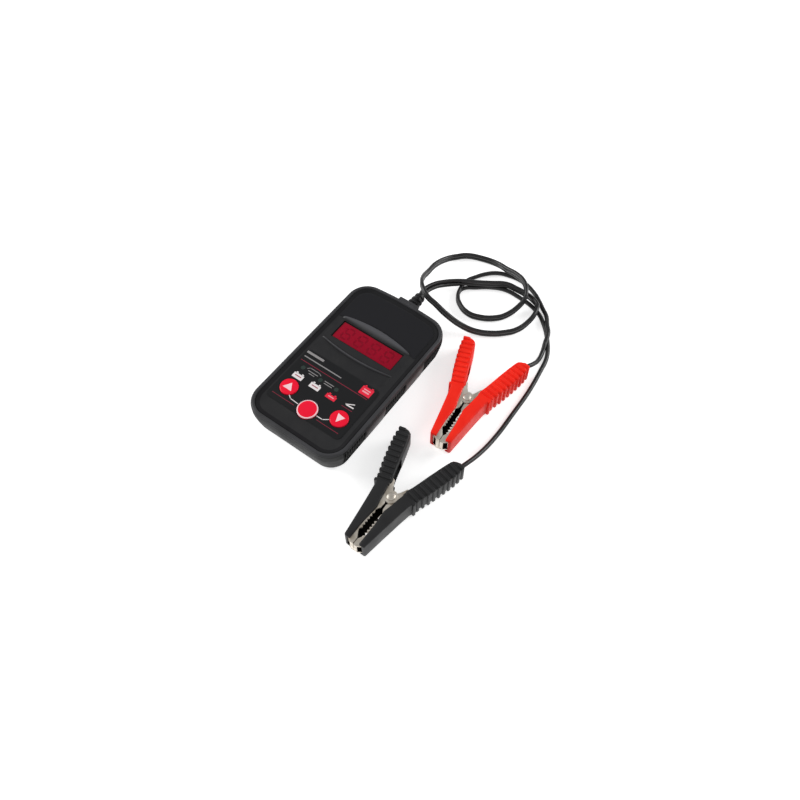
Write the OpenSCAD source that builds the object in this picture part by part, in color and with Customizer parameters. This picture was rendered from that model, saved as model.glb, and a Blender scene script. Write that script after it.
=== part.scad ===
// Hand-held 12 V battery tester: a two-shell case with a red LED display and three keys,
// and a twin cable that splits into two leads with insulated battery clips.
// +Z is up, the table is z = 0, and the origin is under the middle of the case and its cable boss.

/* [Case] */
// Width of the case across its sides
case_w = 70; // [66:0.5:80]
// Length of the case without its cable boss
case_l = 118.5; // [112:0.5:130]
// Height of the case's rim above the table
case_h = 19.35; // [18.6:0.05:23]
// Radius of the case's corners, seen from above
corner_r = 14.3; // [11:0.1:17]
// How far the edge of the cable end bows out in its middle
end_bow = 0.9; // [0:0.1:1.5]
// Wall thickness of both shells
wall = 2; // [1.6:0.1:2.3]
// Height of the front shell, from the line where the two shells meet up to the rim
front_h = 5.45; // [5:0.05:6.5]
// How far the rear shell's sides lean in towards its underside
side_lean = 2.8; // [1:0.1:3.5]
// Width of the rounded rim, from the outside to its crest
rim_w = 2.4; // [1.6:0.1:3]
// Width of the slope from the rim's crest down to the face
rim_slope = 3; // [2:0.1:4]
// Depth of the face below the rim
face_drop = 1.2; // [0.6:0.05:1.8]
// Thickness of the two plastic labels
label_t = 0.25; // [0.15:0.05:0.5]
// Width of the cable boss
boss_w = 14.4; // [12:0.1:18]
// How far the cable boss stands out of the case's end
boss_reach = 3; // [2:0.1:5]
// Sideways place of the cable boss
boss_x = 0.7; // [-4:0.1:4]

/* [Grip ribs on the sides] */
// Distance from one slot to the next
slot_pitch = 2.2; // [1.8:0.1:3]
// Width of a slot
slot_w = 1.1; // [0.6:0.1:1.3]
// Depth of a slot
slot_d = 0.8; // [0.4:0.1:1.1]
// Number of slots in a group
slot_count = 9; // [5:1:9]
// Distance between the middles of the groups
slot_group_pitch = 39.5; // [34:0.5:42]

/* [Display] */
// Width of the display opening
window_w = 46; // [42:0.5:50]
// Height of the display opening
window_l = 14.3; // [13:0.1:16]
// Distance from the cable end of the case to the middle of the display
window_end = 40.25; // [38:0.05:42]
// Sideways place of the display and the keys
face_x = -0.9; // [-2:0.1:2]
// How far the red window lies below the face
window_sink = 0.6; // [0.3:0.1:0.9]
// Height of the hood above the display
hood_rise = 1.5; // [0.6:0.1:1.9]
// Depth of the hood, from the opening to the crest of its bow
hood_l = 6.1; // [5:0.1:8]
// Height of the ridge below the display
ridge_rise = 0.7; // [0.3:0.1:1.2]

/* [Keys and lamps] */
// Radius of the up and down keys
key_r = 5.7; // [4.5:0.1:6.5]
// Radius of the middle key
enter_r = 6.4; // [5:0.1:7]
// Distance from the middle key to each outer key, across the case
key_pitch = 19; // [17:0.1:20]
// Distance from the key end of the case to the middles of the outer keys
key_end = 26.45; // [25:0.05:28]
// How far the middle key stands nearer to the key end than the outer ones
enter_drop = 5.9; // [3:0.1:6.5]
// How far the keys stand out of the face
key_rise = 0.9; // [0.7:0.1:1.5]
// Travel of a key
key_travel = 0.6; // [0.3:0.1:0.6]
// Gap around a key in its hole
key_gap = 0.3; // [0.2:0.05:0.4]
// Radius of a lamp
lamp_r = 1.5; // [1:0.1:1.8]

/* [Inside] */
// Thickness of the circuit board
board_t = 1.6; // [1:0.1:2]
// Height of the display module on the board
module_h = 6.6; // [6:0.1:7]
// Radius of the case screws' shanks
screw_r = 1.4; // [1:0.1:1.6]
// Length of the case screws' shanks
screw_l = 10; // [8:0.5:11]
// Radius of the case screws' heads
screw_head_r = 2.7; // [2.2:0.1:2.8]
// Radius of a rubber foot
foot_r = 4.5; // [3:0.1:5]
// How far a foot stands out of the underside
foot_gap = 0.8; // [0.5:0.1:1.2]

/* [Cable] */
// Diameter of one lead, and the thickness of the twin cable
lead_d = 2.5; // [2:0.1:2.9]
// Length of the strain relief outside the case
relief_l = 13.7; // [12:0.1:13.9]
// Radius of the strain relief where it leaves the case
relief_r = 4.8; // [4:0.1:5]
// Radius of the strain relief's end
relief_end_r = 3.3; // [2.8:0.1:3.6]

/* [Battery clips] */
// Length of a clip from its nose to the end of its grips
clip_l = 74.3; // [66:0.1:80]
// Height of a clip as it lies on the table
clip_h = 14; // [13:0.1:17]
// Wall thickness of the plastic grips
grip_wall = 1.5; // [1:0.1:1.6]
// Thickness of the steel levers
steel_t = 0.8; // [0.5:0.1:1]
// Radius of the rivet's shank
rivet_r = 1.6; // [1.2:0.1:2]
// Running clearance between the rivet and the moving lever's holes
rivet_gap = 0.05; // [0.02:0.01:0.1]
// Diameter of the spring wire
wire_d = 1.4; // [1:0.1:1.6]
// Radius of the spring's coil to its outside
coil_r = 4.6; // [4:0.1:5]

/* [Hidden] */
$fn = 64;
curve_n = 12;                              // steps of a quarter turn in an outline
skin = 0.01;                               // thickness of the slices that a shell is blended from
over = 1;                                  // how far a cut runs past a face
fit = 0.05;                                // gap between pieces that sit in each other
case_y = -boss_reach / 2;
parting_z = case_h - front_h;              // height of the line where the two shells meet
window_y = case_l / 2 - window_end;        // places along the case are measured from its middle
key_y = key_end - case_l / 2;
enter_y = key_y - enter_drop;
face_z = case_h - face_drop;               // top of the labels
shell_z = face_z - label_t;                // face of the front shell
under_z = shell_z - wall;                  // inside of the front shell's face
floor_z = foot_gap + wall;                 // inside of the rear shell's floor
board_top = under_z - 2 * fit - module_h;
board_z = board_top - board_t;
dark = "#2b2b2d";
crimson = "#e0143c";
steel = "#cbbfb0";

function reversed(list) = [for (i = [len(list) - 1 : -1 : 0]) list[i]];
// A quarter turn round x, y that starts at the angle a
function arc(x, y, r, a) =
    [for (i = [0 : curve_n]) let (q = a + 90 * i / curve_n) [x + r * cos(q), y + r * sin(q)]];
// A line from one side to the other that bows out in its middle
function bowed(half, y_end, y_mid, n = 16) =
    [for (i = [0 : n]) let (x = half * (2 * i / n - 1), rise = 1 - pow(x / half, 2))
        [x, y_end + (y_mid - y_end) * rise]];
// The case seen from above, drawn in from its largest outline by an inset
function case_outline(inset) =
    let (r = max(corner_r - inset, 1), x = case_w / 2 - inset - r, y = case_l / 2 - inset - r)
    concat(arc(x, y, r, 0), reversed([for (p = bowed(x, y + r, y + r + end_bow)) if (abs(p[0]) < x) p]),
        arc(-x, y, r, 90), arc(-x, -y, r, 180), arc(x, -y, r, 270));

module case_slab(inset, z, h = skin) {
    translate([0, case_y, z]) linear_extrude(h) polygon(case_outline(inset));
}

// ---- Rear shell ----
edge_r = 0.8;                              // rounding of the underside's edge
function lean(z) = side_lean * pow(max(0, parting_z - z) / (parting_z - foot_gap), 1.3);
lean_levels = [for (i = [0 : 4]) foot_gap + edge_r + (parting_z - skin - foot_gap - edge_r) * i / 4];
lean_angle = atan((lean(foot_gap + 3) - lean(parting_z - 3)) / (parting_z - foot_gap - 6));
slot_low = foot_gap + 1.6;
slot_high = parting_z - 1.2;
screw_x = case_w / 2 - 8.5;
screw_near_y = 14 - case_l / 2;            // the screws at the key end
screw_far_y = case_l / 2 - 20;             // the screws at the cable end
screw_boss_r = screw_head_r + 1.6;
front_boss_r = screw_r + 2.1;
screw_seat = foot_gap + 3.2;               // height of the faces that the screw heads press on
screw_head_h = 1.8;
head_room = 0.3;                           // gap between a screw's head and its counterbore
shank_room = 0.2;                          // gap between a screw's shank and the rear shell and board
foot_x = case_w / 2 - 18.5;
foot_y = case_l / 2 - 9;
foot_seat = 0.6;                           // depth of a foot's pocket in the underside
boss_z = 3;
boss_top = case_h - 0.6;
boss_in = case_l / 2 - wall;               // inner face of the cable boss, along the case
boss_out = case_l / 2 + boss_reach;
neck_r = relief_end_r - 0.2;
relief_z = board_top + 1.6;                // the cable comes in over the board
post_y = case_l / 2 - 12;
post_x = 5.6;
post_r = 2;
post_screw_r = 0.9;
post_foot = foot_gap + wall / 2;           // where bosses and posts grow out of the floor

module screw_places() {
    for (x = [-1, 1], y = [screw_near_y, screw_far_y]) translate([x * screw_x, case_y + y, 0]) children();
}

module post_places() {
    for (x = [-1, 1]) translate([boss_x + x * post_x, case_y + post_y, 0]) children();
}

module foot_places() {
    for (x = [-1, 1], y = [-1, 1]) translate([x * foot_x, case_y + y * foot_y, 0]) children();
}

// The block that the strain relief passes through, shared by the two shells
module boss_block(z0, z1) {
    translate([boss_x - boss_w / 2, case_y + boss_in, z0]) cube([boss_w, boss_out - boss_in, z1 - z0]);
}

// The hole for the strain relief, and the seat of its flange inside
module relief_hole(r) {
    translate([boss_x, case_y + boss_in, relief_z]) rotate([-90, 0, 0]) {
        translate([0, 0, -over]) cylinder(r = r, h = boss_out - boss_in + 2 * over);
        translate([0, 0, -flange_t - over]) cylinder(r = flange_r + fit, h = flange_t + over);
    }
}

// One group of upright slots in the right-hand side wall
module slot_group(y) {
    h = slot_high - slot_low;
    mid = slot_low + h / 2;
    for (i = [0 : slot_count - 1])
        translate([case_w / 2 - lean(mid), case_y + y + (i - (slot_count - 1) / 2) * slot_pitch, mid])
            rotate([0, lean_angle, 0])
                translate([-slot_d, -slot_w / 2, -h / 2]) cube([slot_d + over, slot_w, h]);
}

module rear_shell() {
    color(dark) difference() {
        union() {
            difference() {
                hull() {
                    case_slab(lean(foot_gap) + edge_r, foot_gap);
                    for (z = lean_levels) case_slab(lean(z), z);
                }
                hull() {
                    case_slab(lean(floor_z) + wall, floor_z);
                    for (z = lean_levels) case_slab(lean(z) + wall, max(z, floor_z) + skin);
                    case_slab(wall, parting_z + over);
                }
            }
            boss_block(boss_z, parting_z);
            screw_places() translate([0, 0, post_foot]) cylinder(r = screw_boss_r, h = board_z - post_foot);
            post_places() translate([0, 0, post_foot]) cylinder(r = post_r, h = relief_z - post_foot);
        }
        screw_places() {
            translate([0, 0, foot_gap - over])
                cylinder(r = screw_head_r + head_room, h = screw_seat - foot_gap + over);
            cylinder(r = screw_r + shank_room, h = board_z + over);
        }
        foot_places() translate([0, 0, foot_gap - over]) cylinder(r = foot_r, h = foot_seat + over);
        post_places() translate([0, 0, floor_z]) cylinder(r = post_screw_r, h = relief_z);
        relief_hole(neck_r + fit);
        translate([boss_x - neck_r - fit, case_y + boss_in - over, relief_z])
            cube([2 * (neck_r + fit), boss_out - boss_in + 2 * over, parting_z]);
        for (side = [0, 1], y = [-1, 0, 1]) mirror([side, 0, 0]) slot_group(y * slot_group_pitch);
    }
}

// ---- Front shell ----
rebate = 1.5;                              // how far the window's seat reaches past the opening
hood_half = window_w / 2 + 2.6;
hood_low = window_y + window_l / 2 + 1;
hood_top = window_y + window_l / 2 + hood_l;
hood_end = hood_top - 4;                   // where the hood's bow comes down to at its two ends
hood_front = 1.8;                          // how far each face of the hood slopes in over its height
hood_side = 2.4;
hood_back = 0.7;
ridge_half = window_w / 2 + 3.6;
ridge_end = window_y - window_l / 2 - 2.8;
ridge_mid = ridge_end - 2.6;
ridge_w = 1.1;
crest_r = 1.3;                             // how far the rim's outer edge is rounded in
crest_h = 2.2;                             // and how far down
knee_in = 0.3;                             // where the slope inside the rim bends: share of its width
knee_up = 0.55;                            // and of its height

// The hood's outline at its foot (k = 0) or at its top (k = 1)
module hood_slice(k, z) {
    half = hood_half - hood_side * k;
    low = hood_low + hood_front * k;
    translate([face_x, case_y, z]) linear_extrude(skin)
        polygon(concat(bowed(half, hood_end + hood_back * k, hood_top - hood_back * k),
            [[half, low], [-half, low]]));
}

// The display opening, grown by a margin on each side
module window_block(margin, z, h) {
    translate([face_x - window_w / 2 - margin, case_y + window_y - window_l / 2 - margin, z])
        cube([window_w + 2 * margin, window_l + 2 * margin, h]);
}

module key_places() {
    translate([face_x - key_pitch, case_y + key_y, 0]) children(0);
    translate([face_x, case_y + enter_y, 0]) children(1);
    translate([face_x + key_pitch, case_y + key_y, 0]) children(0);
}

module key_holes(z, h) {
    key_places() {
        translate([0, 0, z]) cylinder(r = key_r + key_gap, h = h);
        translate([0, 0, z]) cylinder(r = enter_r + key_gap, h = h);
    }
}

lamps = [[-21.2, 15.8], [-7, 14.7], [5, 14.9]];    // measured from midway between the outer keys
module lamp_places() {
    for (p = lamps) translate([face_x + p[0], case_y + key_y + p[1], 0]) children();
}

module front_shell() {
    color(dark) difference() {
        union() {
            difference() {
                hull() {
                    case_slab(0, parting_z, case_h - crest_h - parting_z);
                    for (a = [30, 60, 90])
                        case_slab(crest_r * (1 - cos(a)), case_h - skin - crest_h * (1 - sin(a)));
                }
                hull() {
                    case_slab(wall, parting_z - over, under_z - parting_z);
                    case_slab(wall + over, under_z - skin);
                }
                hull() {
                    case_slab(rim_w + rim_slope, shell_z);
                    case_slab(rim_w + rim_slope * knee_in, shell_z + (case_h - shell_z) * knee_up);
                    case_slab(rim_w, case_h);
                }
            }
            hull() {
                hood_slice(0, shell_z - skin);
                hood_slice(1, shell_z + hood_rise);
            }
            translate([face_x, case_y, shell_z - skin]) linear_extrude(ridge_rise + skin)
                polygon(concat(bowed(ridge_half, ridge_end, ridge_mid),
                    reversed(bowed(ridge_half, ridge_end - ridge_w / 2, ridge_mid - ridge_w))));
            boss_block(parting_z, boss_top);
            screw_places() translate([0, 0, board_top])
                cylinder(r = front_boss_r, h = under_z - board_top + wall / 2);
        }
        window_block(0, under_z - over, wall + over + hood_rise);
        window_block(rebate, under_z - over, wall + over - window_sink);
        key_holes(under_z - over, wall + 2 * over);
        lamp_places() translate([0, 0, under_z - over]) cylinder(r = lamp_r + fit, h = wall + 2 * over);
        screw_places() translate([0, 0, board_top - over])
            cylinder(r = screw_r, h = screw_seat + screw_l + fit - board_top + over);
        relief_hole(neck_r + fit);
    }
}

// ---- Labels ----
label_gap = 0.6;                           // bare strip between a label and the edge of the face
key_label_w = 55;
key_label_low = key_y - 11.8;
key_label_high = key_y + 28.8;
key_label_r = 3;
plate_margin = 3;                          // how far the upper plate reaches past the hood's ends
plate_drop = 1;                            // and below them

module label_field() {
    translate([0, case_y]) polygon(case_outline(rim_w + rim_slope + label_gap));
}

// Dark plate above the display, left bare
module upper_label() {
    color("#232226") translate([0, 0, shell_z]) linear_extrude(label_t) intersection() {
        label_field();
        translate([face_x, case_y]) polygon(concat(
            bowed(hood_half + plate_margin, hood_end - plate_drop, hood_top + label_gap),
            [[case_w, hood_end - plate_drop], [case_w, case_l]],
            [[-case_w, case_l], [-case_w, hood_end - plate_drop]]));
    }
}

// Printed plate around the keys and the lamps
module key_label() {
    x = key_label_w / 2 - key_label_r;
    high = key_label_high - key_label_r;
    low = key_label_low + key_label_r;
    color("#1d1d20") difference() {
        translate([0, 0, shell_z]) linear_extrude(label_t) intersection() {
            label_field();
            translate([face_x, case_y]) polygon(concat(
                arc(x, high, key_label_r, 0), arc(-x, high, key_label_r, 90),
                arc(-x, low, key_label_r, 180), arc(x, low, key_label_r, 270)));
        }
        key_holes(shell_z - over, label_t + 2 * over);
        lamp_places() translate([0, 0, shell_z - over]) cylinder(r = lamp_r + fit, h = label_t + 2 * over);
    }
}

// ---- Display ----
module display_window() {
    color("#8c0420") window_block(rebate - fit, under_z, wall - window_sink);
}

// The LED module on the board, with a shallow field in its top for each of its four digits
module display_module() {
    frame_w = window_w - 5.8;
    frame_l = window_l - 1.5;
    pitch = frame_w / 4;
    field_w = pitch - 2;
    field_l = frame_l - 2.8;
    field_d = 0.4;
    color("#3a0a10") translate([face_x, case_y + window_y, board_top]) difference() {
        block([frame_w, frame_l, module_h]);
        for (i = [0 : 3]) translate([(i - 1.5) * pitch, 0, module_h - field_d])
            block([field_w, field_l, over]);
    }
}

// ---- Keys ----
key_edge = 0.35;                           // chamfer round the top of a key
cap_skirt = 1.1;
skirt_h = 0.9;
stem_r = 1.8;
stem_h = 0.5;
key_bottom = under_z - fit - skirt_h - stem_h;

module key(r) {
    h = face_z + key_rise - key_bottom - stem_h;
    color(crimson) {
        translate([0, 0, key_bottom]) cylinder(r = stem_r, h = stem_h + skin);
        translate([0, 0, key_bottom + stem_h]) {
            cylinder(r = r + cap_skirt, h = skirt_h);
            rotate_extrude() polygon([[0, 0], [r, 0], [r, h - key_edge], [r - key_edge, h], [0, h]]);
        }
    }
}

module button_up() { translate([face_x - key_pitch, case_y + key_y, 0]) key(key_r); }
module button_enter() { translate([face_x, case_y + enter_y, 0]) key(enter_r); }
module button_down() { translate([face_x + key_pitch, case_y + key_y, 0]) key(key_r); }

// ---- Circuit board and what sits on it ----
board_gap = 1.6;                           // between the board's edge and the rear shell
board_end = case_l / 2 - 15;               // the cable's anchor takes the space beyond the board
switch_w = 6;
plunger_h = 0.8;
switch_top = key_bottom - key_travel - 0.3;

module circuit_board() {
    color("#1f5a34") difference() {
        translate([0, case_y, board_z]) linear_extrude(board_t) intersection() {
            polygon(case_outline(lean(board_z) + wall + board_gap));
            translate([-case_w / 2, -case_l / 2]) square([case_w, case_l / 2 + board_end]);
        }
        screw_places() translate([0, 0, board_z - over])
            cylinder(r = screw_r + shank_room, h = board_t + 2 * over);
    }
}

// A box that stands on z = 0 with its middle at the origin
module block(size) {
    translate([-size[0] / 2, -size[1] / 2, 0]) cube(size);
}

// Where the parts on the board stand, measured from the middle of the case
module on_board(x, y) {
    translate([x, case_y + y, board_top]) children();
}

module tact_switch() {
    h = switch_top - board_top - plunger_h;
    block([switch_w, switch_w, h]);
    translate([0, 0, h - skin]) cylinder(r = stem_r, h = plunger_h + skin);
}

module tact_switches() {
    color("#303030") translate([0, 0, board_top]) key_places() {
        tact_switch();
        tact_switch();
    }
}

module indicator_leds() {
    spacer_h = 3.6;
    spacer_r = lamp_r + 0.4;
    lens_sink = 0.1;
    color("#6f7f6c") translate([0, 0, board_top]) lamp_places() {
        cylinder(r = spacer_r, h = spacer_h);
        cylinder(r = lamp_r, h = face_z - board_top - lens_sink);
    }
}

chip_w = 10;
chip_h = 1.4;
module processor_chip() {
    color("#1a1a1a") on_board(-1, -3) block([chip_w, chip_w, chip_h]);
}

transistor_w = 10;
transistor_l = 9;
transistor_h = 4.4;
module power_transistor() {
    color("#2a2a2a") on_board(17, -4.5) block([transistor_w, transistor_l, transistor_h]);
}

capacitor_r = 2.5;
capacitor_h = 5.4;
capacitor_pitch = 46.6;
module capacitors() {
    color("#3b4a63") for (x = [-1, 1]) on_board(face_x + x * capacitor_pitch / 2, 3)
        cylinder(r = capacitor_r, h = capacitor_h);
}

resistor_w = 4.6;
resistor_l = 17;
resistor_gap = 0.8;
resistor_y = 14.3;
// Four cement-coated resistors on the underside of the board, which load the battery during a test
module load_resistors() {
    h = min(resistor_w, board_z - floor_z - 0.2);
    for (i = [0 : 3]) translate([0, case_y + resistor_y + i * (resistor_w + resistor_gap), board_z - h])
        color("#b9a98a") block([resistor_l, resistor_w, h]);
}

// ---- Fasteners and feet ----
module case_screws() {
    cross = [3.2, 0.7, 0.8];               // length, width and depth of the cross slot in a head
    color("#8f8f8f") screw_places() {
        translate([0, 0, screw_seat - screw_head_h]) difference() {
            cylinder(r = screw_head_r, h = screw_head_h);
            for (a = [0, 90]) rotate(a) translate([0, 0, -over]) block(cross + [0, 0, over]);
        }
        translate([0, 0, screw_seat - skin]) cylinder(r = screw_r, h = screw_l + skin);
    }
}

module rubber_feet() {
    color("#1b1b1b") foot_places() cylinder(r = foot_r - fit, h = foot_gap + foot_seat);
}

// ---- Cable entry ----
bar_h = 2;
flange_t = 1.5;                            // the flange that holds the strain relief behind the wall
flange_r = neck_r + 1.3;
relief_ribs = 4;
rib_share = 0.62;                          // share of its pitch that a rib of the strain relief fills
groove_d = 0.9;

// A tapered rubber sleeve with a groove after each of its ribs
module strain_relief() {
    pitch = relief_l / relief_ribs;
    through = boss_out - boss_in;
    function taper(y) = relief_r + (relief_end_r - relief_r) * y / relief_l;
    rib = [[0, 0], [rib_share, 0], [rib_share, groove_d], [1, groove_d]];
    ribs = [for (i = [0 : relief_ribs - 1], p = rib)
        let (y = (i + p[0]) * pitch) [taper(y) - p[1], through + y]];
    neck = [[0, -flange_t], [flange_r, -flange_t], [flange_r, -fit], [neck_r, -fit], [neck_r, through]];
    profile = concat(neck, ribs, [[0, through + relief_l]]);
    color("#1f1f21") translate([boss_x, case_y + boss_in, relief_z])
        rotate([-90, 0, 0]) rotate_extrude() polygon(profile);
}

// The two conductors inside the case, from the strain relief to the lugs on the board
lead_apart = lead_d + 0.6;                 // between the middles of the two conductors in the case
clamp_top = relief_z + lead_d / 2 + bar_h;
module inner_leads() {
    lap = 4;                               // how far a conductor reaches over the board
    lug = [2, 2.5];
    start = board_end - lap;
    color("#a03030") for (x = [-1, 1]) translate([boss_x + x * lead_apart / 2, case_y + start, 0]) {
        translate([0, 0, relief_z]) rotate([-90, 0, 0])
            cylinder(r = lead_d / 2, h = boss_in - flange_t - start);
        translate([0, lug[1] / 2, board_top]) block([lug[0], lug[1], relief_z - board_top]);
    }
}

// A bar over the two conductors, with a channel in its underside
module cable_clamp() {
    color("#8f8f8f") difference() {
        translate([boss_x, case_y + post_y, relief_z])
            block([2 * (post_x + post_r), 2 * post_r, clamp_top - relief_z]);
        translate([boss_x, case_y + post_y, relief_z - over])
            block([lead_apart + lead_d + 0.6, 2 * post_r + 2 * over, lead_d / 2 + over]);
        post_places() translate([0, 0, relief_z - over])
            cylinder(r = post_screw_r, h = bar_h + lead_d + over);
    }
}

module clamp_screws() {
    reach = 5;                             // length of a screw in its post
    color("#8f8f8f") post_places() {
        translate([0, 0, relief_z - reach])
            cylinder(r = post_screw_r, h = clamp_top - relief_z + reach + skin);
        translate([0, 0, clamp_top]) cylinder(r = post_screw_r + 0.8, h = 1.1);
    }
}

// ---- Battery clips ----
// Each clip is drawn with its rivet at the origin, its nose towards -Y and its grips towards +Y.
// The half at +X carries the lead, and the half at -X is its mirror image, which swings on the rivet.
red_place = [68.5, 24.8, 5];               // x, y and turn of the red clip
black_place = [70, -54.4, -1];
clip_unit = clip_l / 74.3;                 // scale of the clip's drawn outline
mid_z = clip_h / 2;
// Outer and inner edge of a grip: place along the clip, and distance from its middle
outer_edge = [[-33, 7.2], [-26, 8.2], [-17, 9.5], [-7, 11], [1, 12.4], [4, 13.3], [14, 16.6], [23, 19],
    [31, 21.2], [36.5, 22.6]];
inner_edge = [[28, 12.9], [20, 10], [12, 6.8], [7.5, 5], [5, 7], [-5, 7], [-10, 2], [-14, 2.6], [-20, 3.05],
    [-31, 3.1]];
tail = [[22, 38.4], [19.6, 40.1], [17.9, 40.1], [16.4, 38.4]];
nose_u = -33;                              // where the outer edge starts, at the nose
sleeve_start = 4;                          // where the ribbed sleeve over the grip starts
sleeve_drop = 0.4;                         // how far its flat faces lie below the ribs
web = grip_wall + 0.5;                     // thickness of a grip's outer wall
rib_count = 10;
rib_start = 6.2;
rib_pitch = 3.5;
rib_w = 2.1;
rib_rise = 0.7;
rib_wrap = 4.6;                            // how far a rib wraps onto the flat faces
rib_turn = -14.6;                          // slant of the grip's outer edge
lead_in = [18.3, 36];                      // where the lead ends inside the fixed grip
lead_mouth = [19.6, 40.9];                 // where it enters the grip's end
lead_turn = atan2(lead_mouth[1] - lead_in[1], lead_mouth[0] - lead_in[0]) - 90;

function outer(u) = lookup(u, outer_edge);
function inner(u) = lookup(u, reversed(inner_edge));
// The inside of a grip's outer wall, and of the lever's web against it
function lining(u, t = web / clip_unit) = outer(u) - t - (u > sleeve_start ? rib_rise : 0);
function drawn(list) = clip_unit * list;

module clip_at(place) {
    translate([place[0], place[1], 0]) rotate(place[2]) children();
}

module grip_outline(step) {
    polygon(drawn(concat([for (p = outer_edge) [p[1] - (p[0] > sleeve_start ? step : 0), p[0]]],
        tail, [for (p = inner_edge) [p[1], p[0]]])));
}

// The space for the steel lever and the spring: closed near the grip's end, and open at the nose and
// to the other half
module grip_cavity() {
    s = grip_wall / clip_unit;
    front = nose_u - 1;
    polygon(drawn(concat([for (p = outer_edge) if (p[0] > nose_u) [lining(p[0]), p[0]]],
        [[18.6, 38.4], [17.6, 38.4]], [for (u = [28, 23]) [inner(u) + s, u]],
        [[7.7, 22], [3, 8.2], [-2, 5], [-2, front], [lining(front), front]])));
}

module grip() {
    difference() {
        union() {
            intersection() {
                linear_extrude(clip_h) grip_outline(0);
                translate([-clip_l, -clip_l, 0])
                    cube([2 * clip_l, clip_l + sleeve_start * clip_unit, clip_h]);
            }
            translate([0, 0, sleeve_drop]) linear_extrude(clip_h - 2 * sleeve_drop) grip_outline(rib_rise);
            for (i = [0 : rib_count - 1]) {
                u = rib_start + i * rib_pitch;
                translate([clip_unit * outer(u), clip_unit * u, 0]) rotate(rib_turn)
                    translate([-rib_wrap, -rib_w / 2, 0]) cube([rib_wrap, rib_w, clip_h]);
            }
        }
        translate([0, 0, grip_wall]) linear_extrude(clip_h - 2 * grip_wall) grip_cavity();
    }
}

crimp_l = 4.5;
module grip_with_lead_hole() {
    bore_l = clip_unit * norm(lead_mouth - lead_in) + crimp_l + over;
    difference() {
        grip();
        translate([clip_unit * lead_mouth[0], clip_unit * lead_mouth[1], mid_z]) rotate(lead_turn)
            rotate([90, 0, 0]) translate([0, 0, -over]) cylinder(r = lead_d / 2 + 0.35, h = bore_l + over);
    }
}

// One steel side plate of the half at +X, with its ear around the rivet
ear_r = 4;
tooth_pitch = 2.1;
lever_end = 33;
lip_x = 0.15;                              // the lip that closes the lever's nose from plate to plate
lip_w = 2.2;
lip_u = -34;
module lever_plate(hole_r) {
    side = [for (p = outer_edge) if (p[0] > nose_u && p[0] < lever_end - 2) [lining(p[0]), p[0]]];
    handle = [[15.9, lever_end], [14.4, 28], [11.6, 20], [8.5, 12.2], [7.2, 9], [8.2, 5.6]];
    ear = [[1.4, 3.7], [1.4, -3.7], [7.4, -6], [3.6, -9.4], [2.7, -12]];
    teeth = [for (i = [0 : 5]) each [[2.75, -13 - i * tooth_pitch], [3.5, -14 - i * tooth_pitch]]];
    lip = [[2.8, -25.6], [lip_x, -30], [lip_x, lip_u], [lip_x + lip_w, lip_u],
        [lining(nose_u + 1), nose_u + 1]];
    difference() {
        union() {
            polygon(drawn(concat(side, [[lining(lever_end), lever_end]], handle, ear, teeth, lip)));
            circle(r = ear_r);
        }
        circle(r = hole_r);
    }
}

// A folded lever: two side plates, and a web that joins them along the grip's outer wall
module lever(low_z, hole_r) {
    s = steel_t / clip_unit;
    stations = [-32, -26, -17, -7, 1, 4, 14, 23, 29];
    translate([0, 0, low_z]) linear_extrude(steel_t) lever_plate(hole_r);
    translate([0, 0, clip_h - low_z - steel_t]) linear_extrude(steel_t) lever_plate(hole_r);
    translate([0, 0, low_z]) linear_extrude(clip_h - 2 * low_z) {
        polygon(drawn(concat([for (u = stations) [lining(u), u]],
            [for (u = reversed(stations)) [lining(u) - s, u]])));
        translate(drawn([lip_x, lip_u])) square([lip_w, steel_t]);
    }
}

outer_plate = grip_wall + 0.1;             // height of the moving lever's lower plate
inner_plate = outer_plate + steel_t + 0.1; // height of the fixed lever's lower plate

module clip_grip_moving(shade) { color(shade) mirror([1, 0, 0]) grip(); }
module clip_grip_fixed(shade) { color(shade) grip_with_lead_hole(); }
module clip_jaw_moving() { color(steel) mirror([1, 0, 0]) lever(outer_plate, rivet_r + rivet_gap); }
module clip_jaw_fixed() { color(steel) lever(inner_plate, rivet_r); }

module clip_rivet() {
    head_r = rivet_r + 0.9;
    head_h = 0.9;
    bottom = outer_plate - fit - head_h;
    color("#d8d2c8") {
        translate([0, 0, bottom]) cylinder(r = rivet_r, h = clip_h - 2 * bottom);
        for (flip = [0, 1]) translate([0, 0, flip * clip_h]) mirror([0, 0, flip]) translate([0, 0, bottom])
            rotate_extrude()
                polygon([[0, 0], [head_r * 0.6, 0], [head_r, head_h * 0.6], [head_r, head_h], [0, head_h]]);
    }
}

// Half of the torsion spring: a coil round the rivet, and a leg that crosses to the lever it pushes
coil_gap = 0.3;                            // on both sides of the moving half
leg_lean = 38;                             // where on the coil the leg leaves it
coil_low = inner_plate + steel_t;
coil_h = (clip_h - 2 * coil_low - 2 * coil_gap) / 2;
leg_end_u = 24;
module clip_spring() {
    turn_r = coil_r - wire_d / 2;
    leg_end = [clip_unit * lining(leg_end_u) - steel_t - wire_d / 2, clip_unit * leg_end_u];
    start = turn_r * [-cos(leg_lean), sin(leg_lean)];
    leg = leg_end - start;
    color("#3c3836") {
        translate([0, 0, coil_low]) difference() {
            cylinder(r = coil_r, h = coil_h);
            translate([0, 0, -over]) cylinder(r = coil_r - wire_d, h = coil_h + 2 * over);
        }
        translate([start[0], start[1], coil_low + coil_h / 2]) rotate(atan2(leg[1], leg[0]) - 90)
            rotate([-90, 0, 0]) cylinder(r = wire_d / 2, h = norm(leg));
    }
}

module clip_spring_fixed() { clip_spring(); }
module clip_spring_moving() {
    translate([0, 0, clip_h - coil_gap]) rotate([0, 180, 0]) clip_spring();
}

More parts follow.
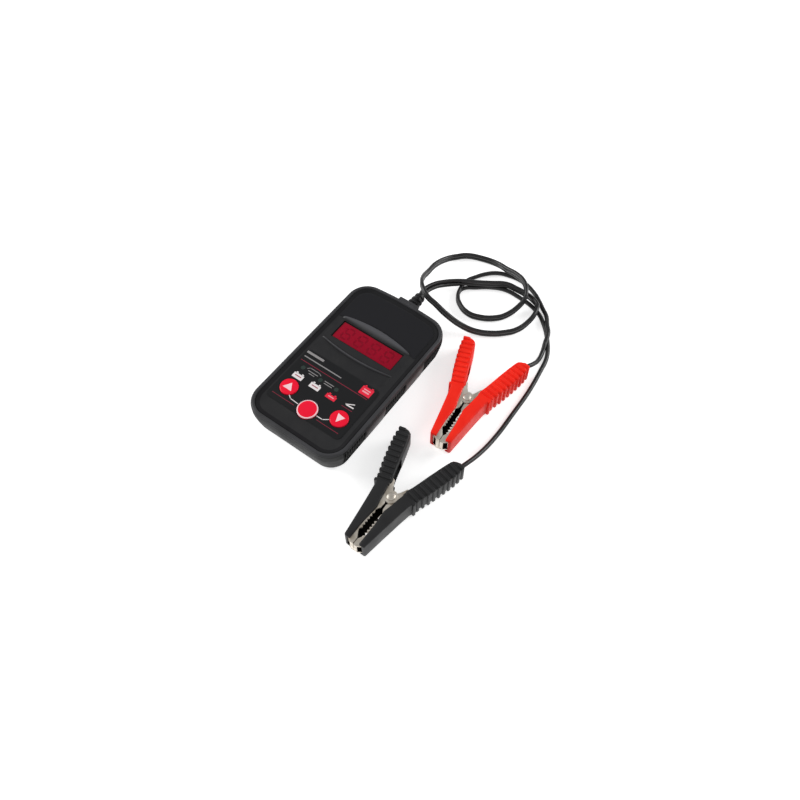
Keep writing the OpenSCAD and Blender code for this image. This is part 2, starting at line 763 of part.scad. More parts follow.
// The lug that the lead is crimped in, on the fixed lever
module clip_crimp() {
    strap = [2, clip_h - 2 * coil_low, 1.5];   // the strap that reaches from one steel plate to the other
    color("#c9b48a") translate([clip_unit * lead_in[0], clip_unit * lead_in[1], mid_z]) rotate(lead_turn)
        rotate([90, 0, 0]) {
            cylinder(r = lead_d / 2 + 0.25, h = crimp_l);
            translate([0, 0, crimp_l - strap[2]]) block(strap);
        }
}

module red_grip_fixed() { clip_at(red_place) clip_grip_fixed("#ff3323"); }
module red_grip_moving() { clip_at(red_place) clip_grip_moving("#ff3323"); }
module red_jaw_fixed() { clip_at(red_place) clip_jaw_fixed(); }
module red_jaw_moving() { clip_at(red_place) clip_jaw_moving(); }
module red_rivet() { clip_at(red_place) clip_rivet(); }
module red_spring_fixed() { clip_at(red_place) clip_spring_fixed(); }
module red_spring_moving() { clip_at(red_place) clip_spring_moving(); }
module red_crimp() { clip_at(red_place) clip_crimp(); }
module black_grip_fixed() { clip_at(black_place) clip_grip_fixed("#303032"); }
module black_grip_moving() { clip_at(black_place) clip_grip_moving("#303032"); }
module black_jaw_fixed() { clip_at(black_place) clip_jaw_fixed(); }
module black_jaw_moving() { clip_at(black_place) clip_jaw_moving(); }
module black_rivet() { clip_at(black_place) clip_rivet(); }
module black_spring_fixed() { clip_at(black_place) clip_spring_fixed(); }
module black_spring_moving() { clip_at(black_place) clip_spring_moving(); }
module black_crimp() { clip_at(black_place) clip_crimp(); }

// ---- Cable ----
// The twin cable leaves the strain relief lying flat, turns on edge within its first bend,
// makes one loop back over the strain relief and a second one over itself, and then splits.
twin_route = [[0, 78.5, 10.5], [2, 87.5, 9.3], [6, 94.5, 7.6], [11, 100.5, 6.2], [14, 103.5, 5.6],
    [22, 108.5, 5.4], [30, 113.5, 5.4], [39, 119.5, 4.8], [46, 121, 3.7], [54, 120.5, 4.0],
    [60, 118.5, 5.0], [65, 115.5, 5.4], [67, 109.5, 5.1], [66, 99.5, 3.0], [63, 91.5, 2.6],
    [59, 86.5, 2.6], [52, 80.5, 2.6], [43, 75.5, 3.2], [34, 72.5, 5.6], [23, 70.5, 11.0], [14, 70.5, 15.5],
    [7, 71, 18.0], [1.6, 74.5, 18.4], [-2.6, 78.9, 17.0], [-6, 85.5, 14.0], [-8, 94.5, 9.8],
    [-9, 105.5, 6.8], [-7, 115.5, 4.2], [-3, 122.5, 2.8], [2, 127.5, 2.6], [12, 131.5, 2.6],
    [24, 132.5, 3.8], [33, 130, 6.2], [41, 128, 8.4], [48.5, 124.5, 9.8], [53.5, 119.5, 9.8],
    [56, 114, 7.8], [55, 107.5, 4.6], [52, 99.5, 2.8], [48, 93.5, 2.6], [37, 86.5, 2.6], [30, 85.5, 2.6],
    [22, 88.5, 2.6], [17, 93.5, 2.6], [15, 99.5, 2.6]];
red_route = [[14, 103, 1.4], [14, 109.5, 1.4], [17, 115.5, 1.4], [21, 121.5, 1.4], [27, 127, 1.4],
    [33, 129.5, 1.4], [46, 130.5, 1.4], [57, 126.5, 1.4], [63, 122.5, 1.4], [68, 118.5, 1.4],
    [73, 114.5, 1.7], [78, 106.5, 3.8], [82, 100.5, 4.6], [84, 93.5, 3.4], [86, 87, 1.8], [87, 80, 2.4], [86.6, 73.5, 5.4]];
black_route = [[16.5, 103, 1.4], [22, 107.5, 1.4], [30, 113.5, 1.4], [39, 117.5, 1.4], [51, 117.5, 1.4],
    [62, 115.5, 1.4], [69, 112.5, 1.4], [74, 108.5, 1.4], [79, 103.5, 1.4], [85, 95.5, 1.4],
    [89, 88.5, 1.4], [91, 82.5, 1.4], [92, 75.5, 1.4], [94, 57.5, 1.4], [94.5, 37.5, 1.4],
    [94.5, 17, 1.5], [93.2, 0, 4.4]];

function turned(p, a) = [p[0] * cos(a) - p[1] * sin(a), p[0] * sin(a) + p[1] * cos(a)];
function on_clip(place, p) =
    let (q = turned(clip_unit * p, place[2])) [place[0] + q[0], place[1] + q[1], mid_z];
function unit(v) = v / norm(v);
function heading(route, i) = unit(route[min(i + 1, len(route) - 1)] - route[max(i - 1, 0)]);
// One ring of a cable: a rounded section of the given width and thickness, turned about the cable's line
function ring(p, t, w, h, roll) =
    let (side = unit([-t[1], t[0], 0]), up = cross(t, side),
        a = side * cos(roll) + up * sin(roll), b = up * cos(roll) - side * sin(roll),
        r = h / 2, flat = w / 2 - r)
    [for (k = [0 : 7]) let (q = 22.5 + k * 45, c = corner * cos(q), s = corner * sin(q))
        p + a * (r * c + flat * sign(c)) + b * r * s];
corner = 1.06;                             // how far a ring's corners stand out, to keep its girth

// A closed tube through rings of eight points each
module swept(rings) {
    n = len(rings);
    points = [for (r = rings, p = r) p];
    sides = [for (i = [0 : n - 2], k = [0 : 7]) let (a = i * 8 + k, b = i * 8 + (k + 1) % 8)
        each [[a, b, b + 8], [a, b + 8, a + 8]]];
    polyhedron(points, concat([[7, 6, 5, 4, 3, 2, 1, 0]], sides, [[for (k = [0 : 7]) (n - 1) * 8 + k]]));
}

turn_end = 6;                              // number of route points over which the twin cable turns on edge
module twin_cable() {
    relief_end = [boss_x, case_y + boss_out + relief_l, relief_z];
    route = concat([relief_end], twin_route);
    color("#262628") swept([for (i = [0 : len(route) - 1])
        let (t = i == 0 ? [0, 1, 0] : heading(route, i))
        ring(route[i], t, 2 * lead_d, lead_d, 90 * min(1, i / turn_end))]);
}

module lead(route, place) {
    path = concat(route, [on_clip(place, lead_mouth), on_clip(place, lead_in)]);
    swept([for (i = [0 : len(path) - 1]) ring(path[i], heading(path, i), lead_d, lead_d, 0)]);
}

module red_lead() { color("#262628") lead(red_route, red_place); }
module black_lead() { color("#262628") lead(black_route, black_place); }

rear_shell();
front_shell();
upper_label();
key_label();
display_window();
display_module();
circuit_board();
tact_switches();
button_up();
button_enter();
button_down();
indicator_leds();
processor_chip();
power_transistor();
load_resistors();
capacitors();
case_screws();
rubber_feet();
strain_relief();
inner_leads();
cable_clamp();
clamp_screws();
twin_cable();
red_lead();
black_lead();
red_grip_fixed();
red_grip_moving();
red_jaw_fixed();
red_jaw_moving();
red_rivet();
red_spring_fixed();
red_spring_moving();
red_crimp();
black_grip_fixed();
black_grip_moving();
black_jaw_fixed();
black_jaw_moving();
black_rivet();
black_spring_fixed();
black_spring_moving();
black_crimp();
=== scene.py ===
# A hand-held battery tester with a red display, three keys and a twin cable to two battery clips.
# Pieces are modelled in millimetres, each in its own place or its clip's, and seated in metres.

import bpy
from math import atan2, cos, pi, radians, sin, tau
from mathutils import Matrix, Vector


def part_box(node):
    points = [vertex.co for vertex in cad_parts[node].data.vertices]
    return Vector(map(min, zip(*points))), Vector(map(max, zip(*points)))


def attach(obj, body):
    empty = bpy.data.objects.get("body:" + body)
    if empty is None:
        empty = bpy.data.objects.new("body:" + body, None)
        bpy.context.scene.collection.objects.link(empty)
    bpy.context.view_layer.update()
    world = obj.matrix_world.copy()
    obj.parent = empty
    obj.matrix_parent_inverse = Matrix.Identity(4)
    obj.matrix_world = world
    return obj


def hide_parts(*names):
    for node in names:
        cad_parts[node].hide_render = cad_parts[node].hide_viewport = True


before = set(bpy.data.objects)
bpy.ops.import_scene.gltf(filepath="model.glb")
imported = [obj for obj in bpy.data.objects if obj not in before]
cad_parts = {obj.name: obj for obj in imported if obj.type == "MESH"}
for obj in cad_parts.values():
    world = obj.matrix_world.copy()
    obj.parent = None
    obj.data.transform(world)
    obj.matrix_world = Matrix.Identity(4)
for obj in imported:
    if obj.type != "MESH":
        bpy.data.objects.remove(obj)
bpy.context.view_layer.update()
bpy.ops.object.select_all(action="DESELECT")

# ---- Camera ----
# It looks down at the bench from beyond the key end, turned towards the clips, through a 34 mm lens.
view_turn = radians(36.038)
view_rise = radians(58.052)
view_roll = radians(-0.238)
view_target = Vector((0.03246, 0.00596, 0))
view_distance = 0.47126
back = Vector((sin(view_turn) * cos(view_rise), -cos(view_turn) * cos(view_rise), sin(view_rise)))
level = Vector((cos(view_turn), sin(view_turn), 0))
upright = back.cross(level)
right = level * cos(view_roll) + upright * sin(view_roll)
up = upright * cos(view_roll) - level * sin(view_roll)
bpy.ops.object.camera_add()
camera = bpy.context.object
camera.matrix_world = (Matrix.Translation(view_target + back * view_distance)
                       @ Matrix((right, up, back)).transposed().to_4x4())
camera.data.lens = 34.356
camera.data.clip_start = 0.01
bpy.context.scene.camera = camera

# ---- Cable ----
# A figure-8 twin cable of soft black PVC. Its two conductors leave the strain relief one beside the
# other, turn on edge within their first bend, make two loops, and part into the leads of the clips.
MM = 0.001
lead_d = 2.5
conductor_gap = 2.44
turn_end = 6
twin_route = [
    (0, 78.5, 10.5), (2, 87.5, 9.3), (6, 94.5, 7.6), (11, 100.5, 6.2), (14, 103.5, 5.6), (22, 108.5, 5.4),
    (30, 113.5, 5.4), (39, 119.5, 4.8), (46, 121, 3.7), (54, 120.5, 4.0), (60, 118.5, 5.0), (65, 115.5, 5.4),
    (67, 109.5, 5.1), (66, 99.5, 3.0), (63, 91.5, 2.6), (59, 86.5, 2.6), (52, 80.5, 2.6), (43, 75.5, 3.2),
    (34, 72.5, 5.6), (23, 70.5, 11.0), (14, 70.5, 15.5), (7, 71, 18.0), (1.6, 74.5, 18.4), (-2.6, 78.9, 17.0),
    (-6, 85.5, 14.0), (-8, 94.5, 9.8), (-9, 105.5, 6.8), (-7, 115.5, 4.2), (-3, 122.5, 2.8), (2, 127.5, 2.6),
    (12, 131.5, 2.6), (24, 132.5, 3.8), (33, 130, 6.2), (41, 128, 8.4), (48.5, 124.5, 9.8), (53.5, 119.5, 9.8),
    (56, 114, 7.8), (55, 107.5, 4.6), (52, 99.5, 2.8), (48, 93.5, 2.6), (37, 86.5, 2.6), (30, 85.5, 2.6),
    (22, 88.5, 2.6), (17, 93.5, 2.6), (15, 99.5, 2.6)]
red_route = [
    (14, 103, 1.65), (14, 109.5, 1.65), (17, 115.5, 1.65), (21, 121.5, 1.65), (27, 127, 1.65), (33, 129.5, 1.65),
    (46, 130.5, 1.65), (57, 126.5, 1.65), (63, 122.5, 1.65), (68, 118.5, 1.65), (73, 114.5, 1.7), (78, 106.5, 3.8),
    (82, 100.5, 4.6), (84, 93.5, 3.4), (86, 87, 1.8), (87, 80, 2.4), (86.6, 73.5, 5.4)]
black_route = [
    (16.5, 103, 1.65), (22, 107.5, 1.65), (30, 113.5, 1.65), (39, 117.5, 1.65), (51, 117.5, 1.65), (62, 115.5, 1.65),
    (69, 112.5, 1.65), (74, 108.5, 1.65), (79, 103.5, 1.65), (85, 95.5, 1.65), (89, 88.5, 1.65), (91, 82.5, 1.65),
    (92, 75.5, 1.65), (94, 57.5, 1.65), (94.5, 37.5, 1.65), (94.5, 17, 1.8), (93.2, 0, 4.4)]
clip_turn = {"red": 5, "black": -1}
lead_mouth = (19.6, 40.9, 0)
lead_in = (18.3, 36, 0)


def clip_place(colour):
    """Where a clip lies: its rivet's middle, and its turn on the table, in millimetres."""
    low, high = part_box(colour + "_rivet")
    middle = (low + high) / (2 * MM)
    return Matrix.Translation(middle) @ Matrix.Rotation(radians(clip_turn[colour]), 4, "Z")


def paint(value):
    """A colour that a shader reads, from its sRGB hex value."""
    parts = [int(value[i:i + 2], 16) / 255 for i in (1, 3, 5)]
    return [c / 12.92 if c <= 0.04045 else ((c + 0.055) / 1.055) ** 2.4 for c in parts] + [1]


def add(tree, kind, inputs, **settings):
    """Adds a shader node. An input that is another node's output is linked, and any other is set."""
    node = tree.nodes.new("ShaderNode" + kind)
    for name, value in settings.items():
        setattr(node, name, value)
    for name, value in inputs.items():
        if isinstance(value, bpy.types.NodeSocket):
            tree.links.new(value, node.inputs[name])
        else:
            node.inputs[name].default_value = value
    return node


def start_material(name):
    """An empty material and its tree, with the object's own coordinates in millimetres."""
    material = bpy.data.materials.new(name)
    material.use_nodes = True
    tree = material.node_tree
    tree.nodes.clear()
    place = add(tree, "TexCoord", {}).outputs["Object"]
    return material, tree, add(tree, "Mapping", {"Vector": place, "Scale": [1 / MM] * 3}).outputs[0]


def tinted(tree, share, colour, worn):
    """A colour that runs from one hex value to another with a share from 0 to 1."""
    return add(tree, "Mix", {0: share, 6: paint(colour), 7: paint(worn)}, data_type="RGBA").outputs[2]


def raised(tree, height, relief):
    """A relief of so many mm, for a shader's normal."""
    return add(tree, "Bump", {"Height": height, "Distance": relief * MM, "Strength": 1}).outputs[0]


def end_material(tree, colour, rough, normal, shader=None):
    """Ends a material in its surface. Shader holds the values of other sockets of the surface."""
    surface = add(tree, "BsdfPrincipled", {"Base Color": colour, "Roughness": rough, "Normal": normal,
                                           **(shader or {})})
    add(tree, "OutputMaterial", {"Surface": surface.outputs[0]})


def moulded(name, colour, worn, roughness, grain, relief, shader=None):
    """A moulded or rubbed surface: a fine grain of the given size in mm, and broad patches where
    handling has polished it and changed its colour a little."""
    material, tree, place = start_material(name)
    patches = add(tree, "TexNoise", {"Vector": place, "Scale": 0.09, "Detail": 3}).outputs[0]
    fine = add(tree, "TexNoise", {"Vector": place, "Scale": 1 / grain, "Detail": 2, "Roughness": 0.6}).outputs[0]
    blend = add(tree, "MapRange", {0: patches, 1: 0.35, 2: 0.7}).outputs[0]
    rough = add(tree, "MapRange", {0: blend, 3: roughness + 0.05, 4: roughness - 0.05}).outputs[0]
    end_material(tree, tinted(tree, blend, colour, worn), rough, raised(tree, fine, relief), shader)
    return material


# Extruded soft PVC: even and satin, with only a faint drag of the die in its gloss.
cable_pvc = moulded("extruded_black_pvc", "#161617", "#1b1b1c", 0.36, 0.8, 0.015)


def heading(points, i):
    """The way a route runs at one of its points."""
    return (points[min(i + 1, len(points) - 1)] - points[max(i - 1, 0)]).normalized()


def conductor(name, side, lead_route, colour):
    """One conductor from the strain relief to its clip. Side is 1 for the upper one, and -1 for the lower."""
    relief_low, relief_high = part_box("strain_relief")
    relief_end = Vector(((relief_low.x + relief_high.x) / 2, relief_high.y, (relief_low.z + relief_high.z) / 2)) / MM
    middle = [relief_end] + [Vector(p) for p in twin_route]
    points = []
    for i, p in enumerate(middle):
        along = Vector((0, 1, 0)) if i == 0 else heading(middle, i)
        across = Vector((-along.y, along.x, 0)).normalized()
        roll = radians(90) * min(1, i / turn_end)
        points.append(p + side * conductor_gap / 2 * (across * cos(roll) + along.cross(across) * sin(roll)))
    points += [Vector(p) for p in lead_route]
    points += [clip_place(colour) @ Vector(p) for p in (lead_mouth, lead_in)]
    curve = bpy.data.curves.new(name, "CURVE")
    curve.dimensions = "3D"
    curve.resolution_u = 10
    curve.bevel_depth = lead_d / 2 * MM
    curve.bevel_resolution = 5
    curve.use_fill_caps = True
    # The jacket grows a little thicker where the two conductors part.
    spline = curve.splines.new("BEZIER")
    spline.bezier_points.add(len(points) - 1)
    for i, (knot, p) in enumerate(zip(spline.bezier_points, points)):
        knot.co = p * MM
        knot.radius = 1.04 + 0.12 * min(1, max(0, (i - len(middle)) / 3))
        knot.handle_left_type = knot.handle_right_type = "AUTO"
    cord = bpy.data.objects.new(name, curve)
    bpy.context.collection.objects.link(cord)
    curve.materials.append(cable_pvc)
    # The smooth curve is 0.6% longer than the straight lines between its points.
    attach(cord, "tester")
    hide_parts(colour + "_lead", "twin_cable")


conductor("conductor_to_red_clip", 1, red_route, "red")
conductor("conductor_to_black_clip", -1, black_route, "black")

# ---- Rear shell ----
# The lower half of the case, moulded in textured black ABS. Its sides lean in towards the underside,
# and each has three groups of upright grip slots, sunk between smooth panels.
wall = 2
corner_r = 14.3
corner_steps = 14
end_bow = 0.9
side_lean = 2.8
under_edge = 0.8
shell_low, shell_high = [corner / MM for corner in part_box("rear_shell")]
boss_reach = 3
case_w = shell_high.x - shell_low.x
case_l = shell_high.y - shell_low.y - boss_reach
case_y = -boss_reach / 2
under_z = shell_low.z
parting_z = shell_high.z
floor_z = under_z + wall


def hold(piece):
    """Makes a piece the active one, and the only one selected."""
    bpy.ops.object.select_all(action="DESELECT")
    bpy.context.view_layer.objects.active = piece
    piece.select_set(True)


def pick(piece, test, kind="FACE"):
    """Opens a piece for editing with only those faces, edges or vertices selected that pass the test."""
    if bpy.context.object and bpy.context.object.mode == "EDIT":
        bpy.ops.object.mode_set(mode="OBJECT")
    hold(piece)
    mesh = piece.data
    for group in (mesh.vertices, mesh.edges, mesh.polygons):
        group.foreach_set("select", [False] * len(group))
    if kind == "FACE":
        for face in mesh.polygons:
            face.select = test(face.center, face.normal)
    elif kind == "EDGE":
        for edge in mesh.edges:
            edge.select = test(*[mesh.vertices[i].co for i in edge.vertices])
    else:
        for vertex in mesh.vertices:
            vertex.select = test(vertex.co)
    bpy.context.tool_settings.mesh_select_mode = [kind == k for k in ("VERT", "EDGE", "FACE")]
    bpy.ops.object.mode_set(mode="EDIT")


def extrude(rise):
    """Carries the selected faces up, or down when the rise is negative, and walls them round."""
    bpy.ops.mesh.extrude_region_move(TRANSFORM_OT_translate={"value": (0, 0, rise)})


def face_out():
    """Selects every face of the piece that is being edited and turns it outwards."""
    bpy.ops.mesh.select_all(action="SELECT")
    bpy.ops.mesh.normals_make_consistent(inside=False)


def done():
    """Closes the piece that is being edited and gives it back."""
    bpy.ops.object.mode_set(mode="OBJECT")
    return bpy.context.object


def apply(piece, kind, **settings):
    """Adds a modifier to a piece and applies it."""
    hold(piece)
    modifier = piece.modifiers.new(kind.lower(), kind)
    for name, value in settings.items():
        setattr(modifier, name, value)
    bpy.ops.object.modifier_apply(modifier=modifier.name)


def combine(piece, other, operation):
    """Joins another solid to a piece, or cuts it out of it, and removes the other."""
    apply(piece, "BOOLEAN", object=other, operation=operation, solver="EXACT")
    bpy.data.objects.remove(other)


def join(pieces):
    """Makes one object of several."""
    bpy.ops.object.select_all(action="DESELECT")
    for piece in pieces:
        piece.select_set(True)
    bpy.context.view_layer.objects.active = pieces[0]
    bpy.ops.object.join()
    return bpy.context.object


def soften(piece, edge, angle=35):
    """Rounds the sharp edges of a piece and shades the rest as smooth."""
    if edge:
        apply(piece, "BEVEL", width=edge, segments=2, limit_method="ANGLE", angle_limit=radians(angle))
    hold(piece)
    bpy.ops.object.shade_smooth_by_angle(angle=radians(angle))


def seat(piece, name, body, material, nodes=(), place=Matrix()):
    """Puts a piece that was modelled in millimetres in its place in metres, and hands it to the frame."""
    piece.data.transform(Matrix.Scale(MM, 4) @ place)
    piece.name = name
    piece.data.name = name
    piece.data.materials.clear()
    piece.data.materials.append(material)
    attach(piece, body)
    if nodes:
        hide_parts(*nodes)
    return piece


def case_plate(z, facing):
    """A flat plate with the outline of the case, at the height z, that faces up (1) or down (-1)."""
    bpy.ops.mesh.primitive_plane_add(size=1)
    plate = bpy.context.object
    pick(plate, lambda co: True, "VERT")
    bpy.ops.transform.resize(value=(case_w, case_l, 1))
    bpy.ops.mesh.bevel(offset=corner_r, segments=corner_steps, affect="VERTICES")
    bpy.ops.mesh.remove_doubles(threshold=0.001)
    pick(plate, lambda a, b: min(a.y, b.y) > case_l / 2 - 0.01 and abs(a.x - b.x) > 9, "EDGE")
    bpy.ops.mesh.subdivide(number_cuts=15)
    done()
    half = case_w / 2 - corner_r
    for vertex in plate.data.vertices:
        if vertex.co.y > case_l / 2 - 0.01:
            vertex.co.y += end_bow * (1 - (vertex.co.x / half) ** 2)
        vertex.co.y += case_y
        vertex.co.z = z
    pick(plate, lambda centre, normal: True)
    if facing < 0:
        bpy.ops.mesh.flip_normals()
    return plate


def draw_profile(steps, facing):
    """Carries the selected plate along a profile of (inset, height) steps."""
    for (inset, z), (next_inset, next_z) in zip(steps, steps[1:]):
        if abs(next_inset - inset) > 1e-4:
            bpy.ops.mesh.inset(thickness=next_inset - inset, depth=(next_z - z) * facing)
        else:
            extrude(next_z - z)


def block(size, centre, edge=0):
    """A box with rounded edges, for a boss or a cut."""
    bpy.ops.mesh.primitive_cube_add(size=1)
    box = bpy.context.object
    pick(box, lambda co: True, "VERT")
    bpy.ops.transform.resize(value=size)
    bpy.ops.transform.translate(value=centre)
    if edge:
        bpy.ops.mesh.bevel(offset=edge, segments=4, affect="EDGES")
    return done()


def rod(radius, low, high, centre, sides=48):
    """An upright cylinder between two heights."""
    bpy.ops.mesh.primitive_cylinder_add(vertices=sides, radius=radius, depth=high - low,
                                        location=(centre[0], centre[1], (low + high) / 2))
    bpy.ops.object.transform_apply()
    return bpy.context.object


def lean(z):
    """How far the case's side lies in from its widest line, at a height."""
    return side_lean * (max(0, parting_z - z) / (parting_z - under_z)) ** 1.3


edge_start = under_z + under_edge
side_heights = [parting_z - (parting_z - edge_start) * i / 8 for i in range(9)]
outside = [(0, parting_z), (0, parting_z - 0.3)] + [(lean(z), z) for z in side_heights[1:]]
outside += [(lean(edge_start) + under_edge * (1 - cos(a)), edge_start - under_edge * sin(a))
            for a in (radians(30), radians(60), radians(90))]
rear = case_plate(parting_z, -1)
draw_profile(outside, -1)
face_out()
pick(rear, lambda centre, normal: normal.z > 0.9 and centre.z > parting_z - 0.01)
inside = [(0, parting_z), (wall, parting_z)] + [(lean(z) + wall, z) for z in side_heights[1:7]]
inside += [(lean(floor_z) + wall + 0.5, floor_z)]
draw_profile(inside, 1)
done()

boss_w = 14.4
boss_x = 0.7
boss_low = 3
boss_in = case_l / 2 - wall
boss_l = boss_reach + wall
relief_low, relief_high = [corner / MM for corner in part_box("strain_relief")]
relief_z = (relief_low.z + relief_high.z) / 2
neck_r = 3.1


def boss(low, high):
    """The block on the case's far end that holds the strain relief."""
    return block((boss_w, boss_l, high - low), (boss_x, case_y + boss_in + boss_l / 2, (low + high) / 2), 0.7)


def relief_hole():
    """The round hole for the strain relief, as a rod along the case."""
    hole = rod(neck_r + 0.05, -6, 6, (0, 0))
    hole.data.transform(Matrix.Translation((boss_x, case_y + boss_in + 1, relief_z)) @ Matrix.Rotation(pi / 2, 4, "X"))
    return hole


combine(rear, boss(boss_low, parting_z), "UNION")
combine(rear, relief_hole(), "DIFFERENCE")
screws_low, screws_high = [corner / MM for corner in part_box("case_screws")]
screw_head_r = 2.7
screw_places = [(x, y) for x in (screws_low.x + screw_head_r, screws_high.x - screw_head_r)
                for y in (screws_low.y + screw_head_r, screws_high.y - screw_head_r)]
board_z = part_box("circuit_board")[0].z / MM
screw_head_h = 1.8
screw_hole_r = 1.6
post_wall = 1.6
screw_seat = screws_low.z + screw_head_h
for place in screw_places:
    combine(rear, rod(screw_head_r + post_wall, under_z + 1, board_z, place), "UNION")
    combine(rear, rod(screw_head_r + 0.3, under_z - 1, screw_seat, place), "DIFFERENCE")
    combine(rear, rod(screw_hole_r, screw_seat - 1, board_z + 1, place), "DIFFERENCE")
feet_low, feet_high = [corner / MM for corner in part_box("rubber_feet")]
foot_r = 4.45
foot_places = [(x, y) for x in (feet_low.x + foot_r, feet_high.x - foot_r)
               for y in (feet_low.y + foot_r, feet_high.y - foot_r)]
for place in foot_places:
    combine(rear, rod(foot_r + 0.05, under_z - 1, feet_high.z, place), "DIFFERENCE")

slot_pitch = 2.2
slot_w = 1.1
slot_d = 1.5
slot_count = 9
slot_group_pitch = 39.5
slot_low = under_z + 1.6
slot_top = parting_z + 2.6
field_d = 0.35


def on_wall(side, middle, length, low, high, proud, deep, edge):
    """A block that follows a side wall's lean, from a depth below its surface to a height above it."""
    box = block((proud + deep, length, high - low), (0, middle, (low + high) / 2), edge)
    pick(box, lambda a, b: abs(a.z - b.z) > (high - low) / 2, "EDGE")
    bpy.ops.mesh.subdivide(number_cuts=7)
    done()
    for vertex in box.data.vertices:
        x = case_w / 2 + (proud - deep) / 2 + vertex.co.x - lean(vertex.co.z)
        vertex.co = (side * x, vertex.co.y + case_y, vertex.co.z)
    if side < 0:
        box.data.flip_normals()
    return box


def cut_slots(shell, low, high):
    """Cuts the slots and their sunk fields into both side walls, between two heights."""
    fields = []
    slots = []
    for side in (1, -1):
        for group in (-1, 0, 1):
            middle = group * slot_group_pitch
            fields.append(on_wall(side, middle, slot_count * slot_pitch + 0.5, low - 0.3, high + 0.3, 1, field_d, 0.2))
            for i in range(slot_count):
                y = middle + (i - (slot_count - 1) / 2) * slot_pitch
                slots.append(on_wall(side, y, slot_w, low, high, 1, slot_d, 0.3))
    combine(shell, join(fields), "DIFFERENCE")
    combine(shell, join(slots), "DIFFERENCE")


cut_slots(rear, slot_low, parting_z + 1)
soften(rear, 0.18)

# Textured ABS: a spark-eroded mould leaves a fine matt grain, which thumbs have rubbed a little smoother.
# The slots' cut faces keep the mould's coarser texture, so they stay dull. Their near-black colour, on the slots and
# their sunk fields, is painted shade.
case_abs = moulded("textured_black_abs", "#212123", "#282829", 0.58, 0.35, 0.02, {"Specular IOR Level": 0.24})
painted_shade_abs = moulded("painted_shade_black_abs", "#0b0b0c", "#101011", 0.7, 0.35, 0.03, {"Specular IOR Level": 0.15})
seat(rear, "rear_shell_moulding", "tester", case_abs, ["rear_shell"])


def finish_part(shell, material, test):
    """Gives a finish of their own to the faces of a shell whose middles, in mm, pass the test."""
    shell.data.materials.append(material)
    for face in shell.data.polygons:
        if test(*(face.center / MM)):
            face.material_index = len(shell.data.materials) - 1


def in_slots(x, y, z):
    """Whether a place lies on the faces of the grip slots and their sunk fields."""
    depth = case_w / 2 - lean(z) - abs(x)
    beside = min(abs(y - case_y - group * slot_group_pitch) for group in (-1, 0, 1))
    return 0.15 < depth < wall - 0.1 and beside < slot_count * slot_pitch / 2 + 0.4


# The faces of the slots and their sunk fields take the painted shade.
finish_part(rear, painted_shade_abs, in_slots)

# The pads between the slots are of a softer, smooth compound: satin, a little lighter and warmer.
pad_l = 18.4
pad_rise = 0.3
pad_root = 0.8
pad_rubber = moulded("satin_grip_compound", "#352e2f", "#3f3838", 0.5, 0.6, 0.01, {"Specular IOR Level": 0.2})
pads = join([on_wall(side, middle, pad_l, slot_low, slot_top, pad_rise, pad_root, 0.5) for side in (1, -1)
             for middle in (-slot_group_pitch / 2, slot_group_pitch / 2)])
soften(pads, 0)
seat(pads, "side_grip_pads", "tester", pad_rubber)

# ---- Front shell ----
# The upper half of the case, of the same ABS. A rounded rim stands round a sunk face, a scooped hood
# shades the display's far edge, and a low curved ridge runs along its near edge.
case_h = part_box("front_shell")[1].z / MM
face_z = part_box("key_label")[1].z / MM
shell_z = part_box("key_label")[0].z / MM
inner_z = shell_z - wall
crest_w = 1.3
crest_h = 2.2
window_low, window_high = [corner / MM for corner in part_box("display_window")]
rebate = 1.45
opening = [window_low.x + rebate, window_low.y + rebate, window_high.x - rebate, window_high.y - rebate]
face_x = (opening[0] + opening[2]) / 2

rim = [(0, parting_z), (0, case_h - crest_h)]
rim += [(crest_w * (1 - cos(a)), case_h - crest_h * (1 - sin(a))) for a in [radians(15 * i) for i in range(1, 7)]]
rim += [(2.1, case_h - 0.02), (2.4, case_h - 0.14), (2.55, case_h - 0.7), (2.8, case_h - 0.95), (3.0, case_h - 0.72),
        (3.5, case_h - 0.8), (4.1, case_h - 1.02), (4.8, case_h - 1.33), (5.4, shell_z)]
front = case_plate(parting_z, 1)
draw_profile(rim, 1)
face_out()
pick(front, lambda centre, normal: normal.z < -0.9 and centre.z < parting_z + 0.01)
bpy.ops.mesh.inset(thickness=wall, depth=0)
extrude(inner_z - parting_z)
done()


def swelling(half, near, far, rise, crest):
    """A low form on the face between two curved lines. It is highest at the share crest of its width,
    and runs out towards its two ends."""
    bpy.ops.mesh.primitive_grid_add(x_subdivisions=48, y_subdivisions=12, size=1)
    form = bpy.context.object
    for vertex in form.data.vertices:
        t = 2 * vertex.co.x
        v = vertex.co.y + 0.5
        bulge = sin(pi / 2 * v / crest) if v < crest else cos(pi / 2 * (v - crest) / (1 - crest))
        height = rise * max(0, 1 - t * t) ** 0.22 * max(0, bulge)
        vertex.co = (face_x + half * t, case_y + near(t) + v * (far(t) - near(t)), shell_z - 0.04 + height)
    pick(form, lambda centre, normal: True)
    extrude(-1.2)
    face_out()
    return done()


def bow(end, middle):
    """A curved line over the face, from the middle line's place to that of its two ends."""
    return lambda t: end + (middle - end) * (1 - t * t)


def tablet(low, high, z_low, z_high, radius=0):
    """A flat plate between two corners, with round corners."""
    bpy.ops.mesh.primitive_plane_add(size=1)
    plate = bpy.context.object
    pick(plate, lambda co: True, "VERT")
    bpy.ops.transform.resize(value=(high[0] - low[0], high[1] - low[1], 1))
    if radius:
        bpy.ops.mesh.bevel(offset=radius, segments=5, affect="VERTICES")
    bpy.ops.mesh.select_all(action="SELECT")
    extrude(z_high - z_low)
    face_out()
    bpy.ops.transform.translate(value=((low[0] + high[0]) / 2, (low[1] + high[1]) / 2, z_low))
    return done()


